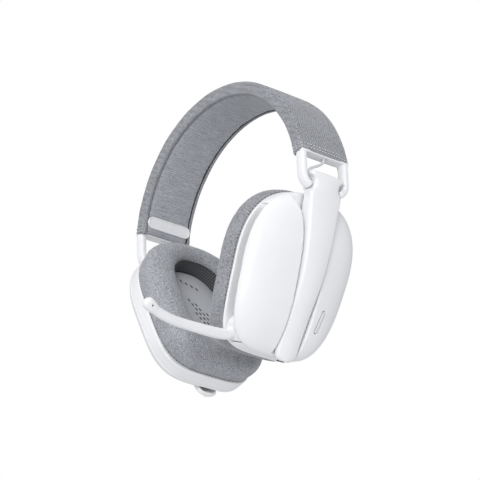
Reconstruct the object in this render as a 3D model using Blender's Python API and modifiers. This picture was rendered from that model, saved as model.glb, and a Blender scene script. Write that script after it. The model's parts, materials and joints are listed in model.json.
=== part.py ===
"""Wireless over-ear headset with a padded headband, forked arms, sliding ear cups and a folding boom.

World frame: +Z up, +X the wearer's left, -Y the front. The origin is the crown of the
headband's underside, where the headset hangs on a head or a stand.

Ear cup frame, used by everything on an arm or a cup: X points out of the cup, away from the
head, Z runs up along the arm, and the origin is the centre of the seam between cushion and shell.
"""
import math

import bmesh
import bpy
from mathutils import Matrix, Vector

MM = 0.001
GAP = 0.3 * MM

# Headband
BAND_HALF_SPAN = 80.0 * MM
BAND_RISE = 84.2 * MM
BAND_DEPTH = 8.2 * MM
BAND_HALF_WIDTH = 18.85 * MM
BAND_END_ANGLE = math.radians(8.4)
COVER_SKIN = 1.4 * MM
SPRING_THICKNESS = 0.8 * MM
SPRING_HALF_WIDTH = 9.0 * MM
BAND_SEGMENTS = 24
CROWN_HEIGHT = BAND_RISE - BAND_DEPTH

# Marker plates on the inside of the band's ends
PLATE_LENGTH = 34.0 * MM
PLATE_HEIGHT = 7.5 * MM
PLATE_THICKNESS = 1.4 * MM
PLATE_ANGLE = math.radians(16.0)

# Forks and hinge pins
PIVOT_X = 76.0 * MM
PIVOT_Z = -5.0 * MM
FORK_DEPTH = 6.6 * MM
FORK_TOP = 10.8 * MM
CROSSBAR_BOTTOM = 9.0 * MM
PRONG_INNER = 14.9 * MM
PIN_RADIUS = 1.2 * MM
PIN_INNER_END = 8.0 * MM
PIN_OUTER_END = 13.8 * MM
WIRE_RADIUS = 0.9 * MM

# Ear cup placement
TOE_IN = math.radians(22.3)
CUP_X = 41.55 * MM
CUP_Z = -53.15 * MM

# Ear cup outline: it is wider in front of the arm than behind it, and narrows towards its foot
CUP_HALF_HEIGHT = 50.0 * MM
FRONT_HALF_WIDTH = 43.0 * MM
REAR_HALF_WIDTH = 37.5 * MM
FRONT_TAPER = 0.04
REAR_TAPER = 0.16
ROUNDNESS_TOP = 2.4
ROUNDNESS_FRONT_FOOT = 4.4
ROUNDNESS_REAR_FOOT = 3.0
CUP_SEGMENTS = 28

# Ear cup depths along X
SHELL_HEIGHT = 7.7 * MM
SHELL_WALL = 2.4 * MM
LIP_HEIGHT = 1.9 * MM
COVER_BASE = 8.0 * MM
DOME_RISE = 13.5 * MM
COVER_WALL = 1.8 * MM
CHANNEL_FLOOR = 10.6 * MM
DOME_FALL = 2.6
DOME_ROUNDING = 0.55
DOME_LEVELS = (0.0, 0.25, 0.5, 0.7, 0.86, 0.96)

# Ear cushion
CUSHION_DEPTH = 18.5 * MM
CUSHION_BULGE = 2.2 * MM
EAR_HALF_WIDTH = 23.8 * MM
EAR_HALF_HEIGHT = 36.0 * MM
EAR_CENTRE = 1.0 * MM
EAR_ROUNDNESS = 2.5
LINING_THICKNESS = 0.8 * MM

# Arms: distance along the arm, half width, height of the outer face, height of the inner edge
ARM_WALL = 1.8 * MM
ARM_STATIONS = (
    (63.6, 10.6, 16.2, 9.8),
    (62.8, 12.2, 17.6, 9.2),
    (60.6, 12.9, 18.8, 9.2),
    (60.2, 10.4, 18.9, 9.2),
    (52.0, 10.4, 20.2, 9.2),
    (51.2, 12.6, 20.3, 12.2),
    (48.0, 11.6, 20.7, 12.2),
    (36.0, 11.0, 22.4, 12.2),
    (27.0, 10.2, 23.8, 12.2),
    (18.5, 9.5, 24.7, 12.2),
    (3.5, 8.5, 25.0, 12.2),
    (-8.5, 7.9, 23.8, 12.2),
    (-22.0, 7.6, 21.1, 12.2),
    (-37.0, 7.6, 18.2, 12.2),
    (-46.0, 7.3, 16.9, 12.2),
    (-50.5, 6.3, 16.3, 12.2),
    (-53.0, 4.2, 15.7, 12.2),
)
NOTCH_FOOT = 50.5
NOTCH_HALF_WIDTH = 10.4 * MM
ARM_CROWN = 0.8 * MM
ARM_EDGE = 1.6 * MM
PIVOT_OUT = 13.6 * MM
PIVOT_UP = 57.6 * MM
CHANNEL_GAP = 0.9 * MM
SLIDE_TRAVEL = 20.0 * MM

# Slider between arm and cup
NECK_HALF_WIDTH = 2.3 * MM
SLIDER_TOP = 14.0 * MM
SLIDER_BOTTOM = 2.0 * MM
SCREW_STATIONS = (11.5 * MM, 4.5 * MM)

# Microphone boom
BOOM_PIVOT_Y = -31.5 * MM
BOOM_PIVOT_Z = -38.5 * MM
BOOM_LEVEL = 4.8 * MM
BOOM_HALF_WIDTH = 3.2 * MM
BOOM_HALF_THICKNESS = 2.5 * MM
BOOM_KNOB_RADII = (3.3 * MM, 3.7 * MM, 3.8 * MM, 3.0 * MM)
BOOM_INSET = 3.3 * MM
BOOM_TIP_HEIGHT = 32.5 * MM
CAPSULE_RADIUS = 1.5 * MM
BOOM_FOLD = math.radians(88.0)
BOOM_ROOT_RADIUS = 8.0 * MM
BOOM_ROOT_TOP = SHELL_HEIGHT - 0.2 * MM
BOOM_PIN_RADIUS = 1.5 * MM
GROOVE_INSET = 7.6 * MM
GROOVE_TOP = 37.0 * MM
GROOVE_BACK = 16.0 * MM

# Controls
BUTTON_Y = 5.2 * MM
PORT_Y = 14.0 * MM
ROCKER_Y = 16.2 * MM
ROCKER_Z = -23.2 * MM
ROCKER_LENGTH = 14.0 * MM
ROCKER_LEAN = math.radians(10.0)

FABRIC = (0.32, 0.325, 0.35)
KNIT = (0.26, 0.265, 0.29)
WHITE = (0.86, 0.86, 0.87)
PALE_GREY = (0.36, 0.37, 0.39)
DARK_GREY = (0.06, 0.06, 0.065)
STEEL = (0.55, 0.55, 0.56)


def clear_scene():
    """Remove whatever the scene holds."""
    for obj in list(bpy.data.objects):
        bpy.data.objects.remove(obj, do_unlink=True)


def new_collection(name):
    """A collection linked to the scene."""
    collection = bpy.data.collections.new(name)
    bpy.context.scene.collection.children.link(collection)
    return collection


def finish(name, colour, roughness, metallic=0.0):
    """A plain Principled finish, made once for each name."""
    found = bpy.data.materials.get(name)
    if found:
        return found
    made = bpy.data.materials.new(name)
    made.use_nodes = True
    shader = made.node_tree.nodes["Principled BSDF"]
    shader.inputs["Base Color"].default_value = (*colour, 1.0)
    shader.inputs["Roughness"].default_value = roughness
    shader.inputs["Metallic"].default_value = metallic
    return made


def fabric():
    return finish("fabric", FABRIC, 0.9)


def knit():
    return finish("knit", KNIT, 0.92)


def white_plastic():
    return finish("white_plastic", WHITE, 0.35)


def grey_plastic():
    return finish("grey_plastic", PALE_GREY, 0.5)


def dark_plastic():
    return finish("dark_plastic", DARK_GREY, 0.5)


def steel():
    return finish("steel", STEEL, 0.3, 1.0)


def add_part(name, mesh, material, parent, smooth=True):
    """A named sub-part from a mesh, in the frame of its parent."""
    obj = bpy.data.objects.new(name, mesh)
    mesh.materials.clear()
    mesh.materials.append(material)
    if smooth:
        mesh.shade_smooth()
        mesh.set_sharp_from_angle(angle=math.radians(40))
    PARTS.objects.link(obj)
    obj.parent = parent
    return obj


def add_cutter(name, mesh, parent):
    """A helper solid, used only by Boolean modifiers."""
    obj = bpy.data.objects.new(name, mesh)
    CUTTERS.objects.link(obj)
    obj.parent = parent
    obj.hide_render = True
    obj.display_type = "WIRE"
    return obj


def add_frame(name, parent, location, rotation=(0.0, 0.0, 0.0)):
    """An empty that carries the parts placed in its frame."""
    frame = bpy.data.objects.new(name, None)
    PARTS.objects.link(frame)
    frame.parent = parent
    frame.location = location
    frame.rotation_euler = rotation
    return frame


def boolean(obj, tool, operation="DIFFERENCE"):
    """Cut, join or trim a part with a helper solid."""
    modifier = obj.modifiers.new(operation.lower(), "BOOLEAN")
    modifier.operation = operation
    modifier.object = tool
    modifier.solver = "EXACT"


def bevel(obj, width, segments=2):
    """Round the edges sharper than 40 degrees."""
    modifier = obj.modifiers.new("bevel", "BEVEL")
    modifier.width = width
    modifier.segments = segments
    modifier.limit_method = "ANGLE"
    modifier.angle_limit = math.radians(40)


def mesh_of(work, name):
    """A mesh from a bmesh, with its faces turned outwards."""
    bmesh.ops.recalc_face_normals(work, faces=work.faces)
    mesh = bpy.data.meshes.new(name)
    work.to_mesh(mesh)
    work.free()
    return mesh


def box_mesh(name, low, high):
    """A box between two corners."""
    work = bmesh.new()
    bmesh.ops.create_cube(work, size=1.0)
    size = Vector(high) - Vector(low)
    middle = (Vector(high) + Vector(low)) / 2
    bmesh.ops.scale(work, vec=size, verts=work.verts)
    bmesh.ops.translate(work, vec=middle, verts=work.verts)
    return mesh_of(work, name)


def rod_mesh(name, start, end, radius, segments=10):
    """A straight round bar between two points."""
    start = Vector(start)
    end = Vector(end)
    work = bmesh.new()
    bmesh.ops.create_cone(
        work, cap_ends=True, segments=segments, radius1=radius, radius2=radius,
        depth=(end - start).length,
    )
    turn = (end - start).to_track_quat("Z", "Y").to_matrix().to_4x4()
    bmesh.ops.transform(work, matrix=Matrix.Translation((start + end) / 2) @ turn, verts=work.verts)
    return mesh_of(work, name)


def curve_mesh(curve, matrix):
    """The closed mesh of a curve, moved by a matrix, with the curve itself removed."""
    guide = bpy.data.objects.new(curve.name, curve)
    CUTTERS.objects.link(guide)
    guide.matrix_world = matrix
    bpy.context.view_layer.update()
    view = guide.evaluated_get(bpy.context.evaluated_depsgraph_get())
    mesh = bpy.data.meshes.new_from_object(view)
    work = bmesh.new()
    work.from_mesh(mesh)
    bmesh.ops.transform(work, matrix=guide.matrix_world, verts=work.verts)
    bmesh.ops.remove_doubles(work, verts=work.verts, dist=0.01 * MM)
    bpy.data.meshes.remove(mesh)
    bpy.data.objects.remove(guide)
    bpy.data.curves.remove(curve)
    return mesh_of(work, "solid")


def slab_mesh(outline, low, high, plane):
    """A flat outline given thickness from low to high, square to its plane, XZ or YZ."""
    curve = bpy.data.curves.new("outline", "CURVE")
    curve.dimensions = "2D"
    curve.fill_mode = "BOTH"
    curve.extrude = (high - low) / 2
    spline = curve.splines.new("POLY")
    spline.points.add(len(outline) - 1)
    for point, (across, up) in zip(spline.points, outline):
        point.co = (across, up, 0.0, 1.0)
    spline.use_cyclic_u = True
    middle = (high + low) / 2
    if plane == "XZ":
        place = Matrix.Translation((0, middle, 0)) @ Matrix.Rotation(math.pi / 2, 4, "X")
    else:
        turn = Matrix.Rotation(math.pi / 2, 4, "Z") @ Matrix.Rotation(math.pi / 2, 4, "X")
        place = Matrix.Translation((middle, 0, 0)) @ turn
    return curve_mesh(curve, place)


def tube_mesh(points, radii, resolution=2):
    """A round tube through points, with a radius at each one."""
    curve = bpy.data.curves.new("route", "CURVE")
    curve.dimensions = "3D"
    curve.bevel_depth = 1.0
    curve.bevel_resolution = resolution
    curve.use_fill_caps = True
    spline = curve.splines.new("POLY")
    spline.points.add(len(points) - 1)
    for point, place, radius in zip(spline.points, points, radii):
        point.co = (*place, 1.0)
        point.radius = radius
    return curve_mesh(curve, Matrix.Identity(4))


def loft_mesh(name, rings, closed=False):
    """Quads between rings of equal count. A closed loft joins its last ring to its first."""
    work = bmesh.new()
    loops = [[work.verts.new(point) for point in ring] for ring in rings]
    pairs = list(zip(loops, loops[1:]))
    if closed:
        pairs.append((loops[-1], loops[0]))
    for lower, upper in pairs:
        count = len(lower)
        for i in range(count):
            j = (i + 1) % count
            work.faces.new((lower[i], lower[j], upper[j], upper[i]))
    if not closed:
        work.faces.new(loops[0])
        work.faces.new(loops[-1])
    return mesh_of(work, name)


def turned_part(name, profile, material, parent, location, steps=16):
    """A part turned about the cup's outward axis from (radius, distance) pairs."""
    mesh = bpy.data.meshes.new(name)
    count = len(profile)
    on_axis = profile[0][0] == 0.0 and profile[-1][0] == 0.0
    edges = [(i, i + 1) for i in range(count - 1)]
    if not on_axis:
        edges.append((count - 1, 0))
    mesh.from_pydata([(radius, 0.0, level) for radius, level in profile], edges, [])
    obj = add_part(name, mesh, material, parent, smooth=False)
    obj.rotation_euler = (0.0, math.pi / 2, 0.0)
    obj.location = location
    screw = obj.modifiers.new("turn", "SCREW")
    screw.steps = steps
    screw.render_steps = steps
    screw.use_merge_vertices = True
    screw.merge_threshold = 0.00001
    screw.use_smooth_shade = True
    return obj


# ---------------------------------------------------------------- headband

def arch_point(depth, angle):
    """A point of the band's arch, at a depth below its outer face."""
    return ((BAND_HALF_SPAN - depth) * math.cos(angle), (BAND_RISE - depth) * math.sin(angle))


def arch_outline(outer_depth, inner_depth, start, end):
    """The side view of a layer of the arch between two depths."""
    angles = [start + (end - start) * i / BAND_SEGMENTS for i in range(BAND_SEGMENTS + 1)]
    outer = [arch_point(outer_depth, angle) for angle in angles]
    inner = [arch_point(inner_depth, angle) for angle in reversed(angles)]
    return outer + inner


def arch_mesh(outer_depth, inner_depth, half_width, end_angle):
    """A layer of the arch from one end to the other."""
    outline = arch_outline(outer_depth, inner_depth, end_angle, math.pi - end_angle)
    return slab_mesh(outline, -half_width, half_width, "XZ")


def make_headband_cover(frame):
    """Fabric sleeve, open along its underside."""
    side = 1.7 * MM
    mesh = arch_mesh(0.0, BAND_DEPTH, BAND_HALF_WIDTH, BAND_END_ANGLE)
    cover = add_part("headband_cover", mesh, fabric(), frame)
    bevel(cover, 1.3 * MM, 1)
    hollow = arch_mesh(COVER_SKIN, BAND_DEPTH + 2 * MM, BAND_HALF_WIDTH - side, math.radians(4))
    boolean(cover, add_cutter("cut_headband_cover", hollow, frame))


def make_headband_core(frame):
    """Spring strip under the sleeve, and the padded panel below it."""
    spring_depth = COVER_SKIN + GAP
    mesh = arch_mesh(
        spring_depth, spring_depth + SPRING_THICKNESS, SPRING_HALF_WIDTH, math.radians(9.2)
    )
    add_part("spring_band", mesh, steel(), frame)
    pad = arch_mesh(4.4 * MM, BAND_DEPTH, BAND_HALF_WIDTH - 2.0 * MM, math.radians(8.9))
    add_part("headband_inner_pad", pad, knit(), frame)


def pill_outline(length, height, steps=6):
    """A bar with round ends, centred on the origin."""
    radius = height / 2
    reach = length / 2 - radius
    points = []
    for side in (1, -1):
        for i in range(steps + 1):
            angle = -math.pi / 2 + math.pi * i / steps
            points.append(
                (side * (reach + radius * math.cos(angle)), side * radius * math.sin(angle))
            )
    return points


def make_marker_plate(name, side, frame):
    """Pill shaped plate on the inside of the band's end."""
    x, z = arch_point(BAND_DEPTH + GAP, PLATE_ANGLE)
    lean = math.atan2(math.sin(PLATE_ANGLE) / BAND_RISE, math.cos(PLATE_ANGLE) / BAND_HALF_SPAN)
    mesh = slab_mesh(pill_outline(PLATE_LENGTH, PLATE_HEIGHT), -PLATE_THICKNESS, 0.0, "YZ")
    plate = add_part(name, mesh, white_plastic(), frame)
    plate.location = (side * x, 0.0, z)
    plate.rotation_euler = (0.0, -lean, 0.0) if side > 0 else (0.0, -lean, math.pi)
    bevel(plate, 0.4 * MM, 1)


def fork_outline():
    """Front view of a fork: a crossbar with two prongs that turn in to their eyelets."""
    half = (
        (BAND_HALF_WIDTH, FORK_TOP),
        (BAND_HALF_WIDTH, -3.4 * MM),
        (17.6 * MM, -7.0 * MM),
        (14.2 * MM, -9.9 * MM),
        (11.6 * MM, -9.2 * MM),
        (10.9 * MM, -6.6 * MM),
        (13.2 * MM, -4.6 * MM),
        (PRONG_INNER, -1.4 * MM),
        (PRONG_INNER, CROSSBAR_BOTTOM),
    )
    return list(half) + [(-y, z) for y, z in reversed(half)]


def eyelet_outline(half_width, steps=6):
    """Side view of a prong: straight sides and a round lower end about the pivot."""
    centre = PIVOT_Z - 0.8 * MM
    top = FORK_TOP + 2 * MM
    points = [(half_width, top), (-half_width, top)]
    for i in range(steps + 1):
        angle = math.pi + math.pi * i / steps
        points.append((half_width * math.cos(angle), centre + half_width * math.sin(angle)))
    return points


def make_fork(name, side, frame):
    """Moulded fork with a tongue inside the band, and bores for its pins, wire and screw."""
    place = add_frame(name + "_frame", frame, (0, 0, 0), (0, 0, 0 if side > 0 else math.pi))
    half = FORK_DEPTH / 2
    mesh = slab_mesh(fork_outline(), PIVOT_X - half, PIVOT_X + half, "YZ")
    fork = add_part(name, mesh, white_plastic(), place)
    bevel(fork, 0.7 * MM, 1)
    trim = [(PIVOT_X + x, z) for x, z in eyelet_outline(half)]
    reach = BAND_HALF_WIDTH + 2 * MM
    boolean(fork, add_cutter("trim_" + name, slab_mesh(trim, -reach, reach, "XZ"), place), "INTERSECT")
    tongue = arch_outline(2.8 * MM, 4.1 * MM, math.radians(6.9), math.radians(17))
    tongue_mesh = slab_mesh(tongue, -10 * MM, 10 * MM, "XZ")
    boolean(fork, add_cutter("tongue_" + name, tongue_mesh, place), "UNION")
    for end in (-1, 1):
        start = (PIVOT_X, end * (PIN_INNER_END - MM), PIVOT_Z)
        stop = (PIVOT_X, end * (PIN_OUTER_END + GAP), PIVOT_Z)
        bore = rod_mesh("bore", start, stop, PIN_RADIUS + GAP)
        boolean(fork, add_cutter("bore_" + name, bore, place))
    hole = rod_mesh("bore", wire_start(-6 * MM), wire_start(6 * MM), 1.9 * MM)
    boolean(fork, add_cutter("wire_hole_" + name, hole, place))
    x, z = arch_point(3.4 * MM, math.radians(14.5))
    screw_hole = rod_mesh("bore", (x - 3 * MM, 0, z), (x + 3 * MM, 0, z), 1.5 * MM)
    boolean(fork, add_cutter("screw_hole_" + name, screw_hole, place))
    return place


def make_fork_fittings(side_name, place):
    """Screw, pins and wire bush of one fork."""
    x, z = arch_point(3.4 * MM, math.radians(14.5))
    screw = rod_mesh("screw", (x - 0.7 * MM, 0, z), (x + 0.3 * MM, 0, z), 1.2 * MM)
    add_part("fork_screw_" + side_name, screw, steel(), place)
    for end, name in ((-1, "front"), (1, "rear")):
        across = end if side_name == "left" else -end
        start = (PIVOT_X, across * PIN_INNER_END, PIVOT_Z)
        stop = (PIVOT_X, across * PIN_OUTER_END, PIVOT_Z)
        pin = rod_mesh("pin", start, stop, PIN_RADIUS)
        add_part(f"hinge_pin_{side_name}_{name}", pin, steel(), place)
    bush = rod_mesh("bush", wire_start(-0.9 * MM), wire_start(1.6 * MM), 1.6 * MM)
    grommet = add_part("wire_grommet_" + side_name, bush, grey_plastic(), place)
    bore = rod_mesh("bore", wire_start(-3 * MM), wire_start(3 * MM), WIRE_RADIUS + GAP)
    boolean(grommet, add_cutter("bore_wire_grommet_" + side_name, bore, place))


def wire_start(above):
    """A point on the axis of the wire's hole in the crossbar."""
    return Vector((PIVOT_X, 1.2 * MM, CROSSBAR_BOTTOM + above))


def make_link_wire(side_name, side, place):
    """Lead from the crossbar to the front corner of the arm's top."""
    front = -1 if side > 0 else 1
    arm_top = (75.2 * MM, front * 9.6 * MM, 3.5 * MM)
    guide = [
        wire_start(1.4 * MM),
        wire_start(-1.2 * MM),
        Vector((75.9 * MM, front * 0.6 * MM, 5.8 * MM)),
        Vector((75.6 * MM, front * 4.6 * MM, 4.9 * MM)),
        Vector((75.3 * MM, front * 8.4 * MM, 4.5 * MM)),
        Vector(arm_top),
    ]
    route = smooth_route(guide, 3)
    mesh = tube_mesh(route, [WIRE_RADIUS] * len(route))
    add_part("link_wire_" + side_name, mesh, grey_plastic(), place)


def smooth_route(guide, steps):
    """Points along a Catmull-Rom curve through the guide points."""
    padded = [2 * guide[0] - guide[1], *guide, 2 * guide[-1] - guide[-2]]
    route = []
    for a, b, c, d in zip(padded, padded[1:], padded[2:], padded[3:]):
        for i in range(steps):
            t = i / steps
            route.append(
                0.5 * (2 * b + (c - a) * t + (2 * a - 5 * b + 4 * c - d) * t ** 2
                       + (3 * b - a - 3 * c + d) * t ** 3)
            )
    route.append(guide[-1])
    return route


def make_headband(frame):
    """The whole headband, with its forks."""
    make_headband_cover(frame)
    make_headband_core(frame)
    for side_name, side in SIDES:
        make_marker_plate("marker_plate_" + side_name, side, frame)
        place = make_fork("fork_" + side_name, side, frame)
        make_fork_fittings(side_name, place)
        make_link_wire(side_name, side, place)


# ---------------------------------------------------------------- outlines of the ear cup

def signed_power(value, power):
    return math.copysign(abs(value) ** power, value)


def quarter(y, z):
    """Half width, taper and roundness of the quarter of the cup's outline that (y, z) lies in."""
    width, taper = (FRONT_HALF_WIDTH, FRONT_TAPER) if y < 0 else (REAR_HALF_WIDTH, REAR_TAPER)
    if z > 0:
        return width, taper, ROUNDNESS_TOP
    return width, taper, ROUNDNESS_FRONT_FOOT if y < 0 else ROUNDNESS_REAR_FOOT


def cup_point(angle, inset=0.0, scale=1.0, front_inset=None):
    """A point (y, z) of the cup's outline, moved in from its edge."""
    width, taper, roundness = quarter(math.cos(angle), math.sin(angle))
    across = signed_power(math.cos(angle), 2 / roundness)
    up = signed_power(math.sin(angle), 2 / roundness)
    if front_inset is not None and across < 0:
        width -= front_inset
    else:
        width -= inset
    y = width * across * (1 + taper * up) * scale
    return y, (CUP_HALF_HEIGHT - inset) * up * scale


def ring_angles(count=CUP_SEGMENTS):
    return [2 * math.pi * (i + 0.5) / count for i in range(count)]


def faced(mesh, side_name):
    """A mesh made for the left cup, mirrored when it is for the right cup's turned frame."""
    if side_name == "right":
        mesh.transform(Matrix.Diagonal((1, -1, 1, 1)))
        mesh.flip_normals()
    return mesh


def cup_ring(level, inset=0.0, scale=1.0, front_inset=None):
    """The cup's outline as a ring at a level along X."""
    ring = []
    for angle in ring_angles():
        y, z = cup_point(angle, inset, scale, front_inset)
        ring.append((level, y, z))
    return ring


def ear_ring(level, inset=0.0, scale=1.0):
    """The ear hole's outline as a ring at a level along X."""
    ring = []
    for angle in ring_angles():
        y = (EAR_HALF_WIDTH - inset) * signed_power(math.cos(angle), 2 / EAR_ROUNDNESS)
        z = (EAR_HALF_HEIGHT - inset) * signed_power(math.sin(angle), 2 / EAR_ROUNDNESS)
        ring.append((level, y * scale, EAR_CENTRE + z * scale))
    return ring


# ---------------------------------------------------------------- arms

def arm_section(along, half_width, top, bottom):
    """A D shaped section of the arm: flat sides and a crowned, round-edged outer face."""
    edge = min(ARM_EDGE, half_width / 2)
    half = [
        (bottom, half_width),
        (top - edge - ARM_CROWN, half_width),
        (top - 0.45 * edge - ARM_CROWN, half_width - 0.25 * edge),
        (top - ARM_CROWN, half_width - edge),
        (top - ARM_CROWN / 4, (half_width - edge) / 2),
    ]
    ring = [(level, y, along) for level, y in half]
    ring.append((top, 0.0, along))
    ring += [(level, -y, along) for level, y in reversed(half)]
    return ring


def arm_mesh(inset, bottom_drop):
    """The arm's body, or with an inset the hollow inside it."""
    rings = []
    last = len(ARM_STATIONS) - 1
    for i, (along, half_width, top, bottom) in enumerate(ARM_STATIONS):
        if inset and i in (0, last):
            continue
        shift = 0.0
        if inset and i in (1, last - 1):
            shift = -inset / 3 if i == 1 else inset / 3
        width = half_width * MM - inset
        if inset and along > NOTCH_FOOT:
            width = NOTCH_HALF_WIDTH - inset
        rings.append(
            arm_section(along * MM + shift, width, top * MM - inset, bottom * MM - bottom_drop)
        )
    return loft_mesh("arm", rings)


def arm_width_at(along):
    """Half width of the arm at a place along it."""
    below = [row for row in ARM_STATIONS if row[0] < NOTCH_FOOT + 1]
    for (z0, w0, _, _), (z1, w1, _, _) in zip(below, below[1:]):
        if z1 * MM <= along <= z0 * MM:
            return MM * (w1 + (w0 - w1) * (along / MM - z1) / (z0 - z1))
    return MM * (below[0][1] if along > 0 else below[-1][1])


def strip_outline(inset, bottom, top, step=8 * MM):
    """A strip that follows the arm's sides between two places along it."""
    count = max(2, round((top - bottom) / step))
    rows = [bottom + (top - bottom) * i / count for i in range(count + 1)]
    right = [(arm_width_at(z) - inset, z) for z in rows]
    return right + [(-y, z) for y, z in reversed(right)]


def make_arm(side_name, frame):
    """Outer shell, inner cover and rail of one arm."""
    shell = add_part("arm_shell_" + side_name, arm_mesh(0.0, 0.0), white_plastic(), frame)
    hollow = add_cutter("hollow_arm_" + side_name, arm_mesh(ARM_WALL, 6 * MM), frame)
    boolean(shell, hollow)
    for end in (-1, 1):
        start = (PIVOT_OUT, end * 6 * MM, PIVOT_UP)
        stop = (PIVOT_OUT, end * 12 * MM, PIVOT_UP)
        bore = rod_mesh("bore", start, stop, PIN_RADIUS + GAP)
        boolean(shell, add_cutter("bore_arm_" + side_name, bore, frame))
    slot_low = SLIDER_BOTTOM - SLIDE_TRAVEL - MM
    slot_high = SLIDER_TOP + MM
    slot_half = NECK_HALF_WIDTH + GAP
    slot_mesh = box_mesh("slot", (11 * MM, -slot_half, slot_low), (16 * MM, slot_half, slot_high))
    slot = add_cutter("slot_" + side_name, slot_mesh, frame)
    plate = slab_mesh(
        strip_outline(ARM_WALL + GAP, -45 * MM, 47 * MM), 12.5 * MM, 13.6 * MM, "YZ"
    )
    cover = add_part("arm_inner_cover_" + side_name, plate, dark_plastic(), frame)
    boolean(cover, slot)
    rail_mesh = slab_mesh(
        strip_outline(ARM_WALL + 0.6 * MM, -26 * MM, 24 * MM), 13.9 * MM, 14.7 * MM, "YZ"
    )
    rail = add_part("slide_rail_" + side_name, rail_mesh, steel(), frame)
    boolean(rail, slot)


# ---------------------------------------------------------------- ear cups

def dome_mesh(inset, base):
    """The domed body of the cover, or with an inset the space inside it."""
    rings = []
    if base < COVER_BASE:
        rings.append(cup_ring(base, inset))
    rise = DOME_RISE - inset
    for level in DOME_LEVELS:
        scale = (1 - level ** (1 / DOME_ROUNDING)) ** (1 / DOME_FALL)
        rings.append(cup_ring(COVER_BASE + rise * level, inset, scale))
    rings.append(cup_ring(COVER_BASE + rise, inset, 0.12))
    return loft_mesh("dome", rings)


def channel_outline(grow):
    """Plan of the arm's channel, which flares where the arm enters at the top of the cup."""
    flare = ((60.0, 20.0), (50.0, 17.0), (42.0, 14.2), (34.0, 12.2), (24.0, 10.6))
    right = [(y * MM + grow, z * MM) for z, y in flare]
    for z in (12 * MM, 3.5 * MM, -8.5 * MM, -22 * MM, -37 * MM, -46 * MM):
        right.append((arm_width_at(z) + CHANNEL_GAP + grow, z))
    right.append((7.3 * MM + CHANNEL_GAP + grow, -60 * MM))
    return right + [(-y, z) for y, z in reversed(right)]


def make_cup_cover(side_name, frame):
    """Domed cover, cut by the channel that the arm lies in."""
    body = faced(dome_mesh(0.0, COVER_BASE), side_name)
    cover = add_part("cup_cover_" + side_name, body, white_plastic(), frame)
    above = 30 * MM
    channel = slab_mesh(channel_outline(0.0), CHANNEL_FLOOR, above, "YZ")
    boolean(cover, add_cutter("channel_" + side_name, channel, frame))
    space = faced(dome_mesh(COVER_WALL, 6 * MM), side_name)
    hollow = add_cutter("hollow_cover_" + side_name, space, frame)
    walls = slab_mesh(channel_outline(COVER_WALL), CHANNEL_FLOOR - COVER_WALL, above, "YZ")
    boolean(hollow, add_cutter("channel_walls_" + side_name, walls, frame))
    boolean(cover, hollow)
    for along in SCREW_STATIONS:
        bore = rod_mesh("bore", (7 * MM, 0, along), (12 * MM, 0, along), 1.1 * MM)
        boolean(cover, add_cutter("screw_bore_" + side_name, bore, frame))
    return cover


def make_slider(side_name, frame):
    """Block that joins the cup to the arm's rail, with its two screws."""
    high, low = SLIDER_TOP, SLIDER_BOTTOM
    foot = box_mesh("foot", (10.9 * MM, -5 * MM, low), (11.9 * MM, 5 * MM, high))
    block = add_part("slider_block_" + side_name, foot, dark_plastic(), frame)
    neck = box_mesh("neck", (11.4 * MM, -NECK_HALF_WIDTH, low), (16 * MM, NECK_HALF_WIDTH, high))
    boolean(block, add_cutter("neck_" + side_name, neck, frame), "UNION")
    head = box_mesh("head", (15 * MM, -4.6 * MM, low), (17.6 * MM, 4.6 * MM, high))
    boolean(block, add_cutter("head_" + side_name, head, frame), "UNION")
    for along, name in zip(SCREW_STATIONS, ("upper", "lower")):
        bore = rod_mesh("bore", (9 * MM, 0, along), (13 * MM, 0, along), 1.1 * MM)
        boolean(block, add_cutter("screw_seat_" + side_name, bore, frame))
        profile = (
            (0.0, 12.5 * MM), (0.8 * MM, 12.5 * MM), (0.8 * MM, 8.5 * MM),
            (1.7 * MM, 8.5 * MM), (1.7 * MM, 8.0 * MM), (0.0, 8.0 * MM),
        )
        turned_part(
            f"slider_screw_{side_name}_{name}", profile, steel(), frame, (0, 0, along), 10
        )


def make_cup_shell(side_name, frame, front_inset):
    """Side wall of the cup, with a thin lip next to the cushion."""
    lip = 0.5 * MM
    rings = [
        cup_ring(0.0, lip),
        cup_ring(0.5 * MM, 0.0),
        cup_ring(SHELL_HEIGHT, 0.0),
        cup_ring(SHELL_HEIGHT, SHELL_WALL, front_inset=front_inset),
        cup_ring(0.0, SHELL_WALL, front_inset=front_inset),
    ]
    mesh = faced(loft_mesh("shell", rings, closed=True), side_name)
    return add_part("cup_shell_" + side_name, mesh, white_plastic(), frame)


def make_baffle(side_name, frame):
    """Speaker cover plate: a raised oval with slits, on a flange behind the cushion."""
    flange_inset = 7.0 * MM
    rings = [
        ear_ring(-3.9 * MM, 0, 0.3),
        ear_ring(-3.6 * MM, 3 * MM),
        ear_ring(-3.2 * MM, 1.0 * MM),
        ear_ring(-2.0 * MM, 1.0 * MM),
        cup_ring(-2.0 * MM, flange_inset),
        cup_ring(-0.3 * MM, flange_inset),
        ear_ring(-0.3 * MM, 2.6 * MM),
        ear_ring(-1.9 * MM, 2.6 * MM),
        ear_ring(-2.4 * MM, 5 * MM),
        ear_ring(-2.6 * MM, 0, 0.3),
    ]
    mesh = faced(loft_mesh("baffle", rings), side_name)
    baffle = add_part("baffle_" + side_name, mesh, grey_plastic(), frame)
    boolean(baffle, add_cutter("slits_" + side_name, faced(slit_mesh(), side_name), frame))


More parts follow.
